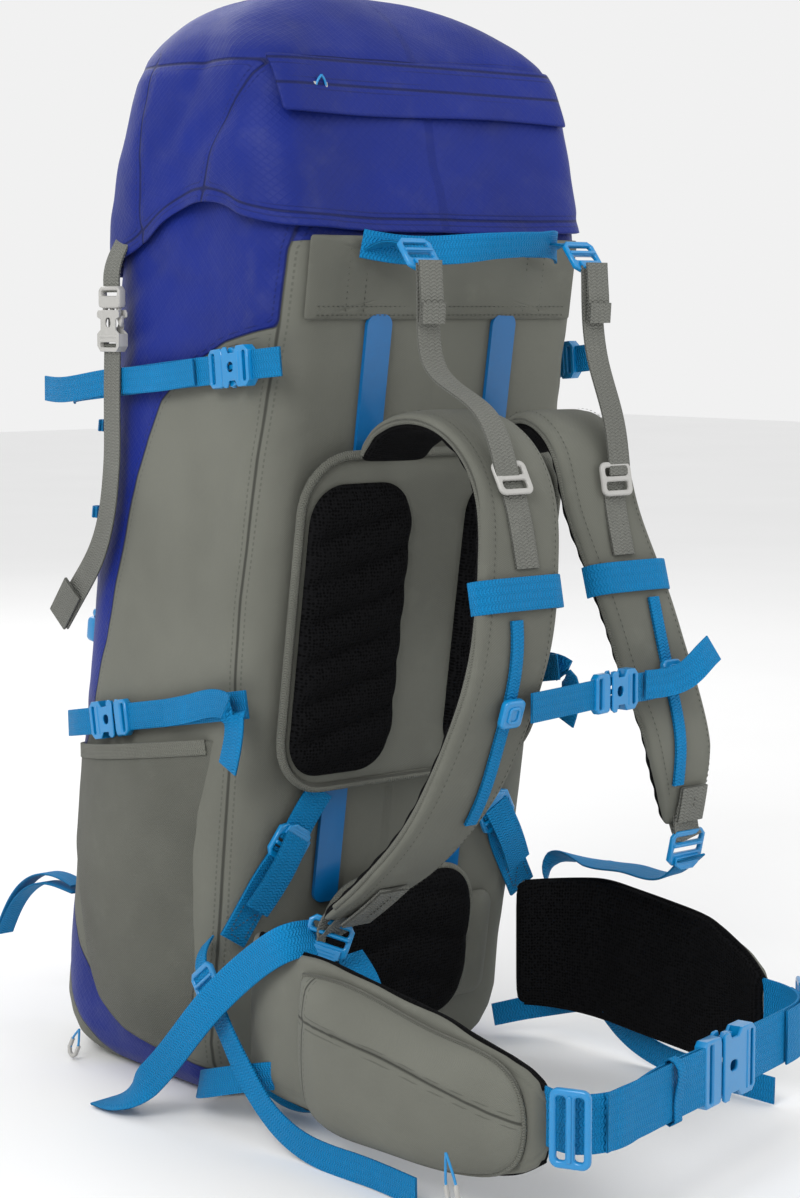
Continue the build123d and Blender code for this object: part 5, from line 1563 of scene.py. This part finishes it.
for k, (a, b) in enumerate(LACING[2:-1]):
    side = -1 if a > 0 else 1
    spot = on_front(a * 1.03, b, 22)
    web(f"lace_loop_{k}", [spot + (side * 14, -9, 0), spot + (side * 7, 0.5, 0), spot,
                           spot + (side * 6, 4, 0), spot + (side * 14, -4, 0)], 9,
        (0, -LEAN, 1), "pack", thick=1.4, wave=0)
lock = Moulding(on_front(84, 322, 25), (0, -LEAN, 1), FRONT_OUT)
lock.plate([rect(20, 15, 4)], 12, 3.0).plate([rect(7, 9, 3, 13)], 8, 2.5)
lock.piece("lace_lock", M_PLASTIC, "cord_lock", "blue_plastic", "cord_lock")
for side, hand in SIDES:
    loop = web(f"tool_loop_{hand}", [(side * 104, y, z) for y, z in ((106, 119), (124, 122), (150, 121),
            (194, 99), (221, 63))], 15, ACROSS,
               "pack", thick=1.7)
    web(f"tool_loop_low_{hand}", [(side * 104, y, z - 3.6) for y,
                                  z in ((106, 117), (124, 118), (150, 117), (194, 96), (219, 63))], 15,
        ACROSS, "pack", thick=1.7)
    if side < 0:
        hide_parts("tool_loops")

# --- floor, light ---------------------------------------------------------------------------------
stage_paint = Paint("floor_paint")
stage_paint.put(stage_paint.shader.inputs["Base Color"],
                stage_paint.mix(stage_paint.noise(2.0), (0.86, 0.86, 0.86), (0.9, 0.9, 0.9)))
stage_paint.surface(0.85)
mesh = bpy.data.meshes.new("floor")
mesh.from_pydata([(-9, -9, -0.0006), (9, -9, -0.0006), (9, 9, -0.0006), (-9, 9, -0.0006)], [], [(0, 1, 2, 3)])
mesh.materials.append(stage_paint.material)
floor = bpy.data.objects.new("floor", mesh)
scene.collection.objects.link(floor)

scene.view_settings.view_transform = "Standard"
world = scene.world or bpy.data.worlds.new("world")
scene.world = world
world.use_nodes = True
sky = world.node_tree.nodes.get("Background") or world.node_tree.nodes.new("ShaderNodeBackground")
sky.inputs[0].default_value = (1, 1, 1, 1)
sky.inputs[1].default_value = 0.88


def area_light(name, place, target, size, power, colour=(1, 1, 1)):
    data = bpy.data.lights.new(name, "AREA")
    data.size, data.energy, data.color = size, power, colour
    light = bpy.data.objects.new(name, data)
    light.location = place
    light.rotation_euler = (Vector(target) - Vector(place)).to_track_quat("-Z", "Y").to_euler()
    scene.collection.objects.link(light)


area_light("key", (-2.2, -1.2, 2.0), (0, -0.1, 0.4), 1.2, 40)
area_light("fill", (1.6, -2.4, 1.4), (0, -0.1, 0.4), 1.8, 12)
area_light("rim", (0.6, 2.4, 2.2), (0, 0, 0.5), 1.6, 22)
